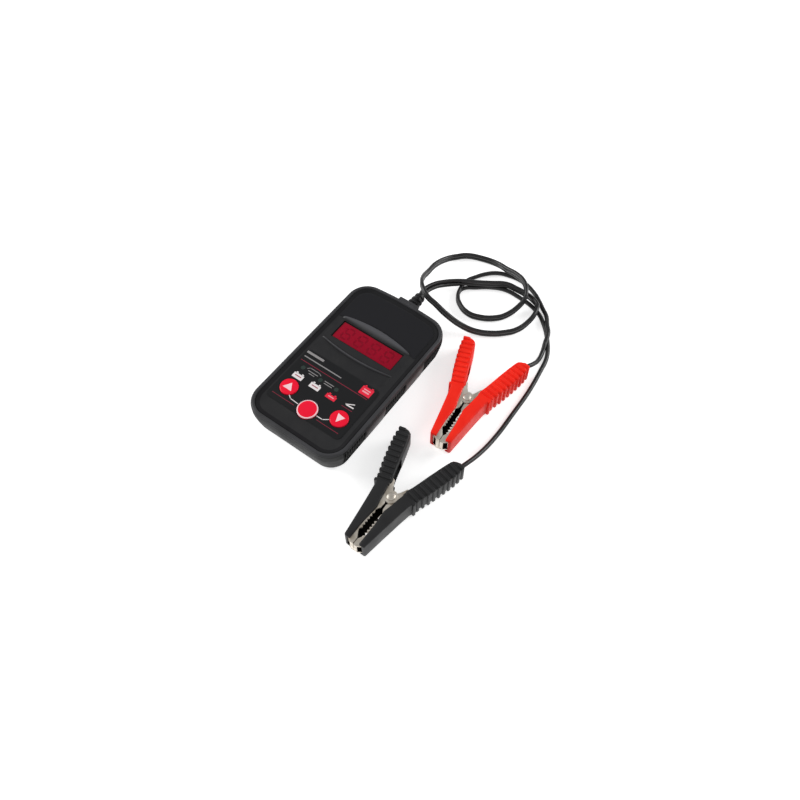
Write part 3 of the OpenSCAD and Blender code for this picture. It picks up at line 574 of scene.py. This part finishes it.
window_far = opening[3] - case_y
window_near = opening[1] - case_y
hood_half, hood_rise = 25.6, 1.8
ridge_half, ridge_rise = 26.6, 1.2
combine(front, swelling(hood_half, bow(window_far + 0.9, window_far + 0.9), bow(window_far + 2.3, window_far + 6.1),
                        hood_rise, 0.78), "UNION")
combine(front, swelling(ridge_half, bow(window_near - 4, window_near - 7.1),
                        bow(window_near - 2.7, window_near - 5.3), ridge_rise, 0.5), "UNION")
combine(front, boss(parting_z, case_h - 0.6), "UNION")
combine(front, tablet(opening[:2], opening[2:], inner_z - 1, case_h + 1, 0.6), "DIFFERENCE")
combine(front, tablet((window_low.x - 0.05, window_low.y - 0.05), (window_high.x + 0.05, window_high.y + 0.05),
                      inner_z - 1, window_high.z + 0.02), "DIFFERENCE")
key_boxes = [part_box(name) for name in ("button_up", "button_enter", "button_down")]
key_places = [((low.x + high.x) / (2 * MM), (low.y + high.y) / (2 * MM)) for low, high in key_boxes]
key_skirt = 1.1
key_radii = [(high.x - low.x) / (2 * MM) - key_skirt for low, high in key_boxes]
for place, radius in zip(key_places, key_radii):
    combine(front, rod(radius + 0.3, inner_z - 1, case_h, place), "DIFFERENCE")
lamp_places = [(-22.1, -18.5), (-7.9, -19.6), (4.1, -19.4)]
lamp_hole_r = 1.55
for place in lamp_places:
    combine(front, rod(lamp_hole_r, inner_z - 1, case_h, place, 24), "DIFFERENCE")
cut_slots(front, parting_z - 1, slot_top)
soften(front, 0.12)
seat(front, "front_shell_moulding", "tester", case_abs, ["front_shell"])
# The faces of the slots and their sunk fields take the painted shade.
finish_part(front, painted_shade_abs, in_slots)


def inset(x, y):
    """How far a place on the face lies inside the case's outline."""
    half = case_w / 2 - corner_r
    y -= case_y + (end_bow * max(0, 1 - (x / half) ** 2) if y > case_y else 0)
    across, along = abs(x) - half, abs(y) - case_l / 2 + corner_r
    return corner_r - Vector((max(across, 0), max(along, 0))).length - min(max(across, along), 0)


# The slope inside the rim is matt, and coloured darker as painted shade. The rim's crest is coloured lighter as a
# painted highlight. The hood and the ridge come from a smoother part of the mould, and a painted highlight colours
# their crests lighter the higher they rise.
rim_inset = 2.75
slope_inset = 5.6
slope_shade_abs = moulded("painted_shade_slope_abs", "#19191b", "#1e1e20", 0.62, 0.35, 0.02, {"Specular IOR Level": 0.15})
finish_part(front, slope_shade_abs, lambda x, y, z: z > shell_z + 0.02 and rim_inset < inset(x, y) < slope_inset)
# Painted highlight: the band along the rim's crest is coloured lighter.
rim_highlight_abs = moulded("painted_highlight_rim_abs", "#363638", "#3f3f42", 0.5, 0.5, 0.01, {"Specular IOR Level": 0.3})
finish_part(front, rim_highlight_abs, lambda x, y, z: z > case_h - 1.3 and inset(x, y) < rim_inset - 0.25)
# Painted highlight: the hood and the ridge are coloured lighter the higher they rise above the face.
crest_highlight_abs, tree, place = start_material("painted_highlight_crest_abs")
height = add(tree, "SeparateXYZ", {0: place}).outputs[2]
rise = add(tree, "MapRange", {0: height, 1: shell_z + 0.2, 2: shell_z + 1.4}).outputs[0]
fine = add(tree, "TexNoise", {"Vector": place, "Scale": 2, "Detail": 2, "Roughness": 0.6}).outputs[0]
rough = add(tree, "MapRange", {0: fine, 3: 0.36, 4: 0.46}).outputs[0]
end_material(tree, tinted(tree, rise, "#232325", "#4c4c50"), rough, raised(tree, fine, 0.008),
             {"Specular IOR Level": 0.4})
finish_part(front, crest_highlight_abs, lambda x, y, z: z > shell_z + 0.12 and inset(x, y) > slope_inset)

# ---- Labels ----
# Two printed polycarbonate films lie in the sunk face: a bare dark plate beyond the hood, and one round
# the keys and lamps with plain bars, lines, small battery signs and the links between the keys.


def dress(material, *nodes):
    """Gives nodes that keep their shape a material of their own."""
    for name in nodes:
        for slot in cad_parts[name].material_slots:
            slot.material = material


# Back-printed polycarbonate film: even, and a little glossier than the moulding round it.
film_gloss = {"Specular IOR Level": 0.3}
dress(moulded("polycarbonate_film_black", "#17171b", "#1a1a1e", 0.4, 0.6, 0.008, film_gloss), "upper_label")
dress(moulded("polycarbonate_film_key_field", "#121315", "#151618", 0.4, 0.6, 0.008, film_gloss), "key_label")
print_low = face_z - 0.02
print_high = face_z + 0.03
overprint = 0.03


def bar(x0, y0, x1, y1, radius=0):
    """A printed bar between two corners."""
    return tablet((x0, y0), (x1, y1), print_low, print_high, radius)


def stroke(points, width):
    """A printed line through some points."""
    parts = []
    for (x0, y0), (x1, y1) in zip(points, points[1:]):
        along = Vector((x1 - x0, y1 - y0))
        part = bar(-width / 2, -width / 2, along.length + width / 2, width / 2, width * 0.45)
        part.data.transform(Matrix.Translation((x0, y0, 0)) @ Matrix.Rotation(atan2(along.y, along.x), 4, "Z"))
        parts.append(part)
    return parts


def battery_sign(x0, y0, x1, y1):
    """A battery with its two terminals."""
    top = y1 - 0.9
    return [bar(x0, y0, x1, top, 0.3), bar(x0 + 0.9, top - 0.2, x0 + 2.2, y1, 0.15),
            bar(x1 - 2.2, top - 0.2, x1 - 0.9, y1, 0.15)]


white_print = battery_sign(-24.1, -27.2, -16.9, -22.7) + battery_sign(-11.2, -27.1, -4, -22.6)
white_print += stroke([(-16.3, -38.5), (-14, -40.1), (-8.2, -40.4)], 0.5)
white_print += stroke([(6.2, -40.4), (10.3, -40.4), (13.4, -38.2)], 0.5)
white_print += stroke([(15, -24), (19.6, -21.6)], 0.6) + stroke([(15.6, -24.2), (20.3, -24)], 0.8)
grey_print = stroke([(-19.4, -17.6), (-18, -16.3), (-11.1, -16.3), (-9.3, -17.2)], 0.35)
grey_print += [bar(-27.6, -8.5, -14.7, -6.9, 0.3), bar(-27, -11.6, 1.5, -10.9, 0.3)]
grey_print += [bar(-18.2, -18.7, -10.8, -18.2), bar(-16.6, -20.2, -12.4, -19.7), bar(-5.3, -18.9, 1.7, -18.4),
               bar(-4.8, -20.4, 1.2, -19.9)]
red_print = stroke([(-27, -14.5), (23, -14.5)], 0.35) + stroke([(-26, -42.5), (-9.5, -42.5)], 0.3)
red_print += stroke([(7.6, -42.5), (23.6, -42.5)], 0.3) + stroke([(13.5, -26.2), (21, -26.2)], 0.3)
red_signs = battery_sign(1.3, -27.1, 8.3, -23.1) + battery_sign(15.6, -13.3, 23.5, -6.4)
sign_marks = [bar(-22.8, -25.6, -18.2, -24.9), bar(-9.9, -25.6, -5.3, -24.9)]
pale_marks = [bar(2.8, -25.7, 6.8, -25.1), bar(17.2, -11.4, 21.9, -10.4), bar(17.2, -9.6, 21.9, -8.9)]

# Screen-printed ink: flat and matt, a hair above the film, with the marks on the signs printed over them.
inks = {"white": (white_print, "#e9e4e4"), "grey": (grey_print, "#8f8c8c"), "dark_red": (red_print, "#8e1434"),
        "red": (red_signs, "#ea1238"), "dull_red": (sign_marks, "#a8626c"), "pale": (pale_marks, "#f0a6b0")}
for shade, (parts, colour) in inks.items():
    ink = moulded("screen_ink_" + shade, colour, colour, 0.55, 0.3, 0.004)
    printed = seat(join(parts), "label_print_" + shade, "tester", ink)
    if shade in ("dull_red", "pale"):
        printed.data.transform(Matrix.Translation((0, 0, overprint * MM)))

# ---- Display ----
# A dark red acrylic window in the rebate under its opening, before a module of four seven-bar digits.
# Clear plastic lets no lamp light through here, so the unlit digits are drawn on the window's face.
digit_pitch = (opening[2] - opening[0] - 5.8) / 4
digit_w = 5.4
digit_h = 8.6
digit_bar = 1.2
digit_slant = 0.14
digit_y = (opening[1] + opening[3]) / 2
digits = []
for i in range(4):
    places = [(0, y, digit_w - 1.5, digit_bar) for y in (-digit_h / 2, 0, digit_h / 2)]
    places += [(x, y, digit_bar, digit_h / 2 - 1.3) for x in (-digit_w / 2, digit_w / 2)
               for y in (-digit_h / 4, digit_h / 4)]
    for x, y, w, h in places:
        middle = face_x + (i - 1.5) * digit_pitch + x + digit_slant * y
        digits.append(tablet((middle - w / 2, digit_y + y - h / 2), (middle + w / 2, digit_y + y + h / 2),
                             window_high.z - 0.1, window_high.z + 0.02, 0.25))

# Unlit bars: only a little darker than the window round them, and as glossy.
digit_epoxy = moulded("unlit_digit_epoxy", "#7c001b", "#860020", 0.22, 0.4, 0.002, {"Specular IOR Level": 0.2})
seat(join(digits), "digit_bars", "tester", digit_epoxy)

# A dull black strip round the pane is painted shadow: the shade of the opening's walls, drawn as a thin dark edge that
# is a little wider along the far and left sides.
x0, y0, x1, y1 = opening
thin, thick = 0.6, 0.7
shadow_strips = [(x0, y0, x1, y0 + thin), (x0, y1 - thick, x1, y1), (x0, y0, x0 + thick, y1), (x1 - thin, y0, x1, y1)]
shadow_strip = join([tablet(edges[:2], edges[2:], window_high.z - 0.1, window_high.z + 0.015) for edges in shadow_strips])
seat(shadow_strip, "window_painted_shadow", "tester", painted_shade_abs)

# The module behind the window is of dull dark red plastic.
dress(moulded("display_case_plastic", "#3a0a12", "#441018", 0.5, 0.5, 0.01), "display_module")

window = tablet(window_low[:2], window_high[:2], window_low.z, window_high.z, 0.8)
soften(window, 0.15)

# Tinted acrylic: glossy, clear deep red, with what lies under it only just showing through.
acrylic, tree, place = start_material("tinted_red_acrylic")
haze = add(tree, "TexNoise", {"Vector": place, "Scale": 0.07, "Detail": 2}).outputs[0]
ripple = add(tree, "TexNoise", {"Vector": place, "Scale": 0.25, "Detail": 1}).outputs[0]
end_material(tree, tinted(tree, haze, "#8a001f", "#a60027"), 0.22, raised(tree, ripple, 0.02),
             {"IOR": 1.49, "Transmission Weight": 0.1, "Specular IOR Level": 0.2})
seat(window, "display_pane", "tester", acrylic, ["display_window"])

# ---- Keys ----
# Three round crimson key caps, each with a skirt under the shell and a stem on its switch. The outer
# two carry a pale printed triangle, and the middle one a pale ring round its edge.


def turned(profile, sides=64):
    """A round solid along Z through a profile of (radius, height) steps."""
    radius, z = profile[0]
    bpy.ops.mesh.primitive_circle_add(vertices=sides, radius=radius, fill_type="NGON")
    solid = bpy.context.object
    pick(solid, lambda centre, normal: True)
    bpy.ops.transform.translate(value=(0, 0, z))
    for next_radius, next_z in profile[1:]:
        extrude(next_z - z)
        share = next_radius / radius
        bpy.ops.transform.resize(value=(share, share, 1), center_override=(0, 0, next_z))
        radius, z = next_radius, next_z
    face_out()
    return done()


def prism(points, low, high):
    """A flat solid with an outline of given points."""
    bpy.ops.mesh.primitive_circle_add(vertices=len(points), fill_type="NGON")
    solid = bpy.context.object
    for vertex, (x, y) in zip(solid.data.vertices, points):
        vertex.co = (x, y, low)
    pick(solid, lambda centre, normal: True)
    extrude(high - low)
    face_out()
    return done()


# Two-shot ABS cap: bright crimson right through, rubbed smoother where the thumb lands. The ink on it
# is flat and matt.
key_abs = moulded("crimson_key_abs", "#f2052e", "#f80f38", 0.34, 0.5, 0.008, {"Specular IOR Level": 0.3})
key_print = moulded("pale_key_ink", "#ffd8dc", "#f6ccd2", 0.5, 0.3, 0.004)
key_low = key_boxes[0][0].z / MM
key_high = key_boxes[0][1].z / MM
mark_scale = 0.95
for name, body, place, r in zip(("up", "enter", "down"), ("up_key", "enter_key", "down_key"), key_places, key_radii):
    crown = [(r - 0.6 + 0.6 * cos(a), key_high - 0.75 + 0.55 * sin(a)) for a in [radians(18 * i) for i in range(6)]]
    crown += [(r * share, key_high - 0.2 * share ** 2) for share in (0.75, 0.5, 0.25, 0.05)]
    cap = turned([(1.8, key_low), (1.8, key_low + 0.5), (r + key_skirt, key_low + 0.5),
                  (r + key_skirt, key_low + 1.4), (r, key_low + 1.4)] + crown)
    cap.data.transform(Matrix.Translation((place[0], place[1], 0)))
    soften(cap, 0)
    seat(cap, name + "_key_cap", body, key_abs, ["button_" + name])
    if name == "enter":
        mark = turned([(r - 0.75, key_high - 0.5), (r + 0.02, key_high - 0.62), (r + 0.02, key_high - 0.5),
                       (r - 0.3, key_high - 0.17), (r - 0.75, key_high - 0.12)])
        combine(mark, rod(r - 0.75, key_high - 2, key_high + 2, (0, 0), 64), "DIFFERENCE")
    else:
        corners = ((-3.4, -2.2), (0.1, 3.1), (3.5, -2.2)) if name == "up" else ((-2.6, 2.6), (3.1, 1.9), (-0.2, -3.4))
        mark = prism([(x * mark_scale, y * mark_scale) for x, y in corners], key_high - 0.35, key_high + 0.01)
    mark.data.transform(Matrix.Translation((place[0], place[1], 0)))
    soften(mark, 0)
    seat(mark, name + "_key_mark", body, key_print)

# ---- Lamps and board ----
# Three small lamps stand on spacers on the board and end level with the label. The green laminate
# board carries the switches, the chip, the load parts and the cable's two conductors.

# Unlit lamps: clear epoxy, glassy and dark, with a little green in it.
dress(moulded("lamp_epoxy", "#2c3a36", "#33423d", 0.15, 0.5, 0.004, {"Transmission Weight": 0.3}), "indicator_leds")

# Solder-masked glass laminate: green, with the weave just showing and a satin gloss.
board, tree, place = start_material("solder_masked_laminate")
warp, weft = [add(tree, "TexWave", {"Vector": place, "Scale": 0.32}, bands_direction=way).outputs[1] for way in "XY"]
weave = add(tree, "Math", {0: warp, 1: weft}, operation="MULTIPLY").outputs[0]
end_material(tree, tinted(tree, weave, "#0f4a2c", "#156038"), 0.35, raised(tree, weave, 0.02))
dress(board, "circuit_board")

# The parts on the board: dull black epoxy, chalky white ceramic, blue sleeve and black PVC.
dress(moulded("component_epoxy", "#1d1d1f", "#262628", 0.5, 0.3, 0.02), "processor_chip", "power_transistor",
      "tact_switches")
dress(moulded("fired_ceramic", "#d9d3c4", "#c9c2b0", 0.7, 0.4, 0.03), "load_resistors")
dress(moulded("capacitor_sleeve", "#26304a", "#2d3856", 0.35, 0.6, 0.01), "capacitors")
dress(moulded("conductor_insulation", "#29292a", "#303031", 0.4, 0.6, 0.01), "inner_leads")
dress(moulded("clamp_bar_nylon", "#2b2b2d", "#333335", 0.5, 0.4, 0.02), "cable_clamp")

# ---- Screws and feet ----
# Four cross-head screws hold the shells together from below, beside four round rubber feet.


def metal(name, colour, worn, roughness, grain):
    """A worked metal: drawn or rolled lines of the given spacing in mm, and a tarnish in patches."""
    material, tree, place = start_material(name)
    stretched = add(tree, "Mapping", {"Vector": place, "Scale": (1 / grain, 0.08, 1 / grain)}).outputs[0]
    lines = add(tree, "TexNoise", {"Vector": stretched, "Scale": 1, "Detail": 2}).outputs[0]
    patches = add(tree, "TexNoise", {"Vector": place, "Scale": 0.16, "Detail": 4}).outputs[0]
    blend = add(tree, "MapRange", {0: patches, 1: 0.4, 2: 0.65}).outputs[0]
    rough = add(tree, "MapRange", {0: lines, 1: 0.3, 2: 0.7, 3: roughness - 0.06, 4: roughness + 0.08}).outputs[0]
    end_material(tree, tinted(tree, blend, colour, worn), rough, raised(tree, lines, 0.01), {"Metallic": 1})
    return material


# Bright zinc plate: pale, slightly grey metal. The feet are of matt black rubber.
dress(metal("zinc_plated_steel", "#a9a8a4", "#8e8d88", 0.35, 0.3), "case_screws", "clamp_screws")
dress(moulded("moulded_foot_rubber", "#1b1b1c", "#232324", 0.75, 0.4, 0.03), "rubber_feet")

# ---- Strain relief ----
# A tapered sleeve of soft black rubber with four rounded ribs. Its flange seats behind the case's end
# wall, and it keeps the cable from kinking at the exit.
relief_l = relief_high.y - (case_y + case_l / 2 + boss_reach)
relief_r = 4.8
relief_end_r = 3.3
through = boss_reach + wall
pitch = relief_l / 4
profile = [(2.6, -1.5), (4.4, -1.5), (4.4, -0.05), (neck_r, -0.05), (neck_r, through - 0.3)]
for i in range(4):
    start = through + i * pitch
    for share, drop in ((0, 0.9), (0.03, 0.4), (0.12, 0.06), (0.31, 0), (0.5, 0.06), (0.59, 0.4), (0.62, 0.9),
                        (0.98, 0.9)):
        y = start + share * pitch
        profile.append((relief_r + (relief_end_r - relief_r) * (y - through) / relief_l - drop, y))
profile += [(2.35, through + relief_l), (1.6, through + relief_l)]
sleeve = turned(profile, 56)
sleeve.data.transform(Matrix.Translation((boss_x, case_y + boss_in, relief_z)) @ Matrix.Rotation(-pi / 2, 4, "X"))
soften(sleeve, 0)

# Moulded rubber: near black, matt, with a faint bloom on the ribs.
relief_rubber = moulded("moulded_relief_rubber", "#151517", "#202022", 0.55, 0.4, 0.03)
seat(sleeve, "ribbed_relief_sleeve", "tester", relief_rubber, ["strain_relief"])

# ---- Clip grips ----
# Each clip has two moulded PVC grips round its steel levers. Their handle ends are sleeves with ten
# ribs and a collar, and their noses are hollow, open to each other and at the tip.
clip_h = 14
outer_edge = [(-33, 7.2), (-26, 8.2), (-17, 9.5), (-7, 11), (1, 12.4), (4, 13.5), (14, 17.2), (23, 19.9), (31, 22),
              (36.5, 22.9)]
rib_rise = 0.7
grip_wall = 1.5


def outer(u):
    """How far a grip's outer edge lies from the clip's middle, at the place u along it."""
    for (u0, v0), (u1, v1) in zip(outer_edge, outer_edge[1:]):
        if u0 <= u <= u1:
            return v0 + (v1 - v0) * (u - u0) / (u1 - u0)
    return outer_edge[0][1] if u < 0 else outer_edge[-1][1]


def lining(u):
    """The same for the inside of the grip, which the steel lies against."""
    return outer(u) - grip_wall - 0.5 - (rib_rise if u > 4 else 0)


def twin(piece):
    """A copy of a piece with a mesh of its own."""
    other = piece.copy()
    other.data = piece.data.copy()
    bpy.context.collection.objects.link(other)
    return other


def mirror(piece):
    """Turns a piece into its mirror image across the clip's middle."""
    piece.data.transform(Matrix.Diagonal((-1, 1, 1, 1)))
    piece.data.flip_normals()


half_h = clip_h / 2
sleeve_stations = [4.2, 7, 10, 14, 18, 23, 27, 31, 34, 36.5]
handle = [(outer(u) - rib_rise, u) for u in sleeve_stations]
handle += [(22.1, 38.2), (21.3, 39.3), (20, 39.9), (18.2, 40.1), (16.6, 39.7), (15, 38.8), (14.1, 37.4), (12.9, 34),
           (11.6, 30), (10.4, 26), (8.9, 21), (7.5, 16), (6.3, 12), (4.6, 7.5), (5, 5)]
grip = prism(handle, -half_h + rib_rise, half_h - rib_rise)
nose_stations = [-33, -30, -26, -21, -17, -12, -7, -3, 1, 4, 5.4]
nose = [(outer(u) - (0.4 if u < 4 else 0), u) for u in nose_stations]
nose += [(5.4, 5.4), (4.5, 1), (3.6, -4), (2.3, -9.5), (2.6, -14), (3.05, -20), (3.1, -33)]
nose_piece = prism(nose, -half_h, half_h)
for part, width in ((grip, 1.5), (nose_piece, 0.9)):
    apply(part, "BEVEL", width=width, segments=4, limit_method="ANGLE", angle_limit=radians(60))
combine(grip, nose_piece, "UNION")
handle_turn = Matrix.Rotation(radians(-14.6), 4, "Z")
first_rib = 6.2
rib_pitch = 3.5
collar_u = 3.2
rib_count = 10
ribs = []
for i in range(rib_count):
    u = first_rib + rib_pitch * i
    reach = 8.2 if i < rib_count - 1 else 4.6
    rib = block((reach, 2.1, clip_h), (-reach / 2, 0, 0), 0.7)
    rib.data.transform(Matrix.Translation((outer(u), u, 0)) @ handle_turn)
    ribs.append(rib)
collar = block((9.3, 1.9, clip_h), (-3.75, 0, 0), 0.5)
collar.data.transform(Matrix.Translation((outer(collar_u), collar_u, 0)) @ handle_turn)
combine(grip, join(ribs + [collar]), "UNION")
cavity = [(lining(u), u) for u in (-26, -17, -7, 1, 4, 14, 23, 31, 36.5)]
cavity += [(18.6, 38.4), (17.6, 38.4), (14.4, 28), (12.6, 23), (9, 22), (3, 8.2), (-2, 5), (-2, -34), (5, -34)]
combine(grip, prism(cavity, -half_h + grip_wall, half_h - grip_wall), "DIFFERENCE")
lead_grip = twin(grip)
bore = rod(lead_d / 2 + 0.35, 0, 12, (0, 0), 32)
lead_turn = atan2(lead_mouth[1] - lead_in[1], lead_mouth[0] - lead_in[0]) - pi / 2
bore.data.transform(Matrix.Translation(lead_mouth) @ Matrix.Rotation(lead_turn, 4, "Z")
                    @ Matrix.Rotation(pi / 2, 4, "X") @ Matrix.Translation((0, 0, -1)))
combine(lead_grip, bore, "DIFFERENCE")
for part in (grip, lead_grip):
    soften(part, 0, 40)

# Dip-moulded soft PVC: saturated, softly glossy, with a slight drag and rubbed high spots.
grip_pvc = {"red": moulded("moulded_red_pvc", "#f5210f", "#fe2d1b", 0.42, 0.7, 0.02, {"Specular IOR Level": 0.22}),
            "black": moulded("moulded_black_pvc", "#1f1f20", "#272728", 0.45, 0.7, 0.02, {"Specular IOR Level": 0.3})}
for colour in ("red", "black"):
    seat(twin(lead_grip), colour + "_lead_grip", "tester", grip_pvc[colour],
         [colour + "_grip_fixed"], clip_place(colour))
    other = twin(grip)
    mirror(other)
    seat(other, colour + "_free_grip", colour + "_lever", grip_pvc[colour],
         [colour + "_grip_moving"], clip_place(colour))
for part in (grip, lead_grip):
    bpy.data.objects.remove(part)

# ---- Clip levers ----
# Each lever is folded from nickel-plated steel: two side plates with teeth and an ear round the rivet,
# joined by a web along the grip and a lip at the nose. The fixed one fits inside the free one.
steel_t = 0.8
back_edge = [(lining(u), u) for u in (-26, -17, -7, 1, 4, 14, 23, 31, 33)]


def side_plate(tooth):
    """The outline of a side plate, with its teeth this far from the clip's middle."""
    points = back_edge + [(15.9, 33), (14.4, 28), (11.6, 20), (8.5, 12.2), (6.2, 10), (4.4, 9.3), (2.9, 6.1),
                          (1.4, 3.8), (1.4, -3.8), (0.5, -5), (0.7, -8.4), (tooth + 0.8, -11)]
    for i in range(6):
        points += [(tooth, -13 - 2.1 * i), (tooth + 1.1, -14 - 2.1 * i)]
    return points + [(tooth + 1.2, -25.6), (0.15, -30), (0.15, -34), (2.35, -34), (lining(-32), -32)]


web_stations = (-32, -26, -17, -7, 1, 4, 14, 23, 29)
web_edge = [(lining(u), u) for u in web_stations] + [(lining(u) - steel_t, u) for u in reversed(web_stations)]

# Bright nickel plate over drawn steel strip, warm and softly streaked. Inside the fold it is dull and coloured dark,
# as painted shade.
nickel = metal("nickel_plated_steel", "#f0e8dc", "#cfc4b4", 0.36, 0.35)
inner_shade_steel = metal("painted_shade_inner_steel", "#2b2723", "#1d1a17", 0.5, 0.35)
for kind, low, flip in (("free", 1.6, True), ("lead", 2.5, False)):
    z = half_h - low
    parts = []
    for base, tooth in ((-z, 0.15), (z - steel_t, 1.5)):
        plate = prism(side_plate(tooth), base, base + steel_t)
        combine(plate, rod(4, base, base + steel_t, (0, 0)), "UNION")
        soften(plate, 0.12, 40)
        parts.append(plate)
    parts += [prism(web_edge, -z + 0.1, z - 0.1), block((2.2, steel_t, 2 * z - 0.2), (1.25, -33.6, 0), 0.15)]
    lever = join(parts)
    soften(lever, 0, 40)
    if flip:
        mirror(lever)
    for colour in ("red", "black"):
        body, node = (colour + "_lever", "_jaw_moving") if flip else ("tester", "_jaw_fixed")
        placed = twin(lever)
        # The faces inside the fold, back from the nose, take the painted shade.
        painted_shade_faces = [face.index for face in placed.data.polygons
                     if abs(face.center.z) < z - steel_t + 0.03 and face.center.y > -31.5]
        seat(placed, colour + "_" + kind + "_lever", body, nickel, [colour + node],
             clip_place(colour))
        placed.data.materials.append(inner_shade_steel)
        for index in painted_shade_faces:
            placed.data.polygons[index].material_index = 1
    bpy.data.objects.remove(lever)

# ---- Rivets and springs ----
# A domed steel rivet goes through both levers. A torsion spring of dark steel wire is coiled round it,
# modelled as two halves, and each half's leg pushes on one lever.
head = [(0.3, -6.35), (1.2, -6.3), (2.0, -6.08), (2.4, -5.8), (2.5, -5.46), (1.6, -5.45)]
rivet = turned(head + [(r, -z) for r, z in reversed(head)], 40)
soften(rivet, 0)

# The rivet is polished where its head was formed, and the spring wire is oiled and dark.
rivet_steel = metal("headed_steel", "#dcd6cd", "#c6bfb4", 0.48, 0.3)
wire_steel = metal("oiled_spring_wire", "#4a4541", "#37322e", 0.35, 0.25)
wire_r = 0.7
coil_r = 3.9
coil_h = 3.4
for kind, coil_low, flip in (("lead", -3.7, 1), ("free", 0, -1)):
    bpy.ops.curve.primitive_bezier_curve_add()
    wire = bpy.context.object
    wire.data.splines.clear()
    spline = wire.data.splines.new("POLY")
    steps = 40
    points = []
    for i in range(steps + 1):
        a = -2 * tau * (1 - i / steps)
        points.append((flip * coil_r * cos(a), coil_r * sin(a), coil_low + wire_r + (coil_h - 2 * wire_r) * i / steps))
    points += [(flip * (4.1 + 9.9 * i / 5), 0.6 + 23.9 * i / 5, coil_low + 2.7 - 0.2 * i) for i in range(6)]
    spline.points.add(len(points) - 1)
    for knot, p in zip(spline.points, points):
        knot.co = (*p, 1)
    wire.data.bevel_depth = wire_r
    wire.data.bevel_resolution = 4
    wire.data.use_fill_caps = True
    hold(wire)
    bpy.ops.object.convert(target="MESH")
    wire = bpy.context.object
    soften(wire, 0)
    for colour in ("red", "black"):
        body, node = (colour + "_lever", "_spring_moving") if flip < 0 else ("tester", "_spring_fixed")
        seat(twin(wire), colour + "_" + kind + "_spring", body, wire_steel, [colour + node],
             clip_place(colour))
    bpy.data.objects.remove(wire)
for colour in ("red", "black"):
    seat(twin(rivet), colour + "_domed_rivet", "tester", rivet_steel, [colour + "_rivet"],
         clip_place(colour))
bpy.data.objects.remove(rivet)

# Crimped brass: yellow, and a little dull from the press.
dress(metal("crimped_brass", "#c9a85a", "#a88a48", 0.3, 0.3), "red_crimp", "black_crimp")

# ---- Bench and light ----
# A white bench and soft lamps. The bench shows white to the eye and in reflections, and keeps the
# object's shadow.
bpy.ops.mesh.primitive_plane_add(size=8)
bench = bpy.context.object
bench.name = "white_bench"
white = bpy.data.materials.new("matt_white_bench")
white.use_nodes = True
tree = white.node_tree
tree.nodes.clear()
matt = add(tree, "BsdfDiffuse", {"Color": paint("#e8e8e8")})
path = add(tree, "LightPath", {})
seen = add(tree, "Math", {0: path.outputs["Is Camera Ray"], 1: path.outputs["Is Glossy Ray"]}, operation="MAXIMUM")
seen = add(tree, "Math", {0: seen.outputs[0], 1: path.outputs["Is Transmission Ray"]}, operation="MAXIMUM")
lift = add(tree, "Math", {0: seen.outputs[0], 1: 0.62}, operation="MULTIPLY")
glow = add(tree, "Emission", {"Color": (1, 1, 1, 1), "Strength": lift.outputs[0]})
both = add(tree, "AddShader", {0: matt.outputs[0], 1: glow.outputs[0]})
add(tree, "OutputMaterial", {"Surface": both.outputs[0]})
bench.data.materials.append(white)

world = bpy.data.worlds.new("plain_daylight")
bpy.context.scene.world = world
world.use_nodes = True
world.node_tree.nodes["Background"].inputs["Color"].default_value = (1, 1, 1, 1)
world.node_tree.nodes["Background"].inputs["Strength"].default_value = 0.38
for name, spot, width, power in (("broad_left_lamp", (-0.8, -0.25, 0.5), 0.5, 6.2),
                                 ("near_fill", (0.55, -0.6, 0.55), 0.6, 0.9),
                                 ("far_lamp", (0.5, 0.62, 0.42), 0.4, 3.6)):
    bpy.ops.object.light_add(type="AREA", location=spot)
    lamp = bpy.context.object
    lamp.name = name
    lamp.data.size = width
    lamp.data.energy = power
    lamp.rotation_euler = (Vector(spot) - view_target).to_track_quat("Z", "Y").to_euler()
bpy.context.scene.view_settings.view_transform = "Standard"
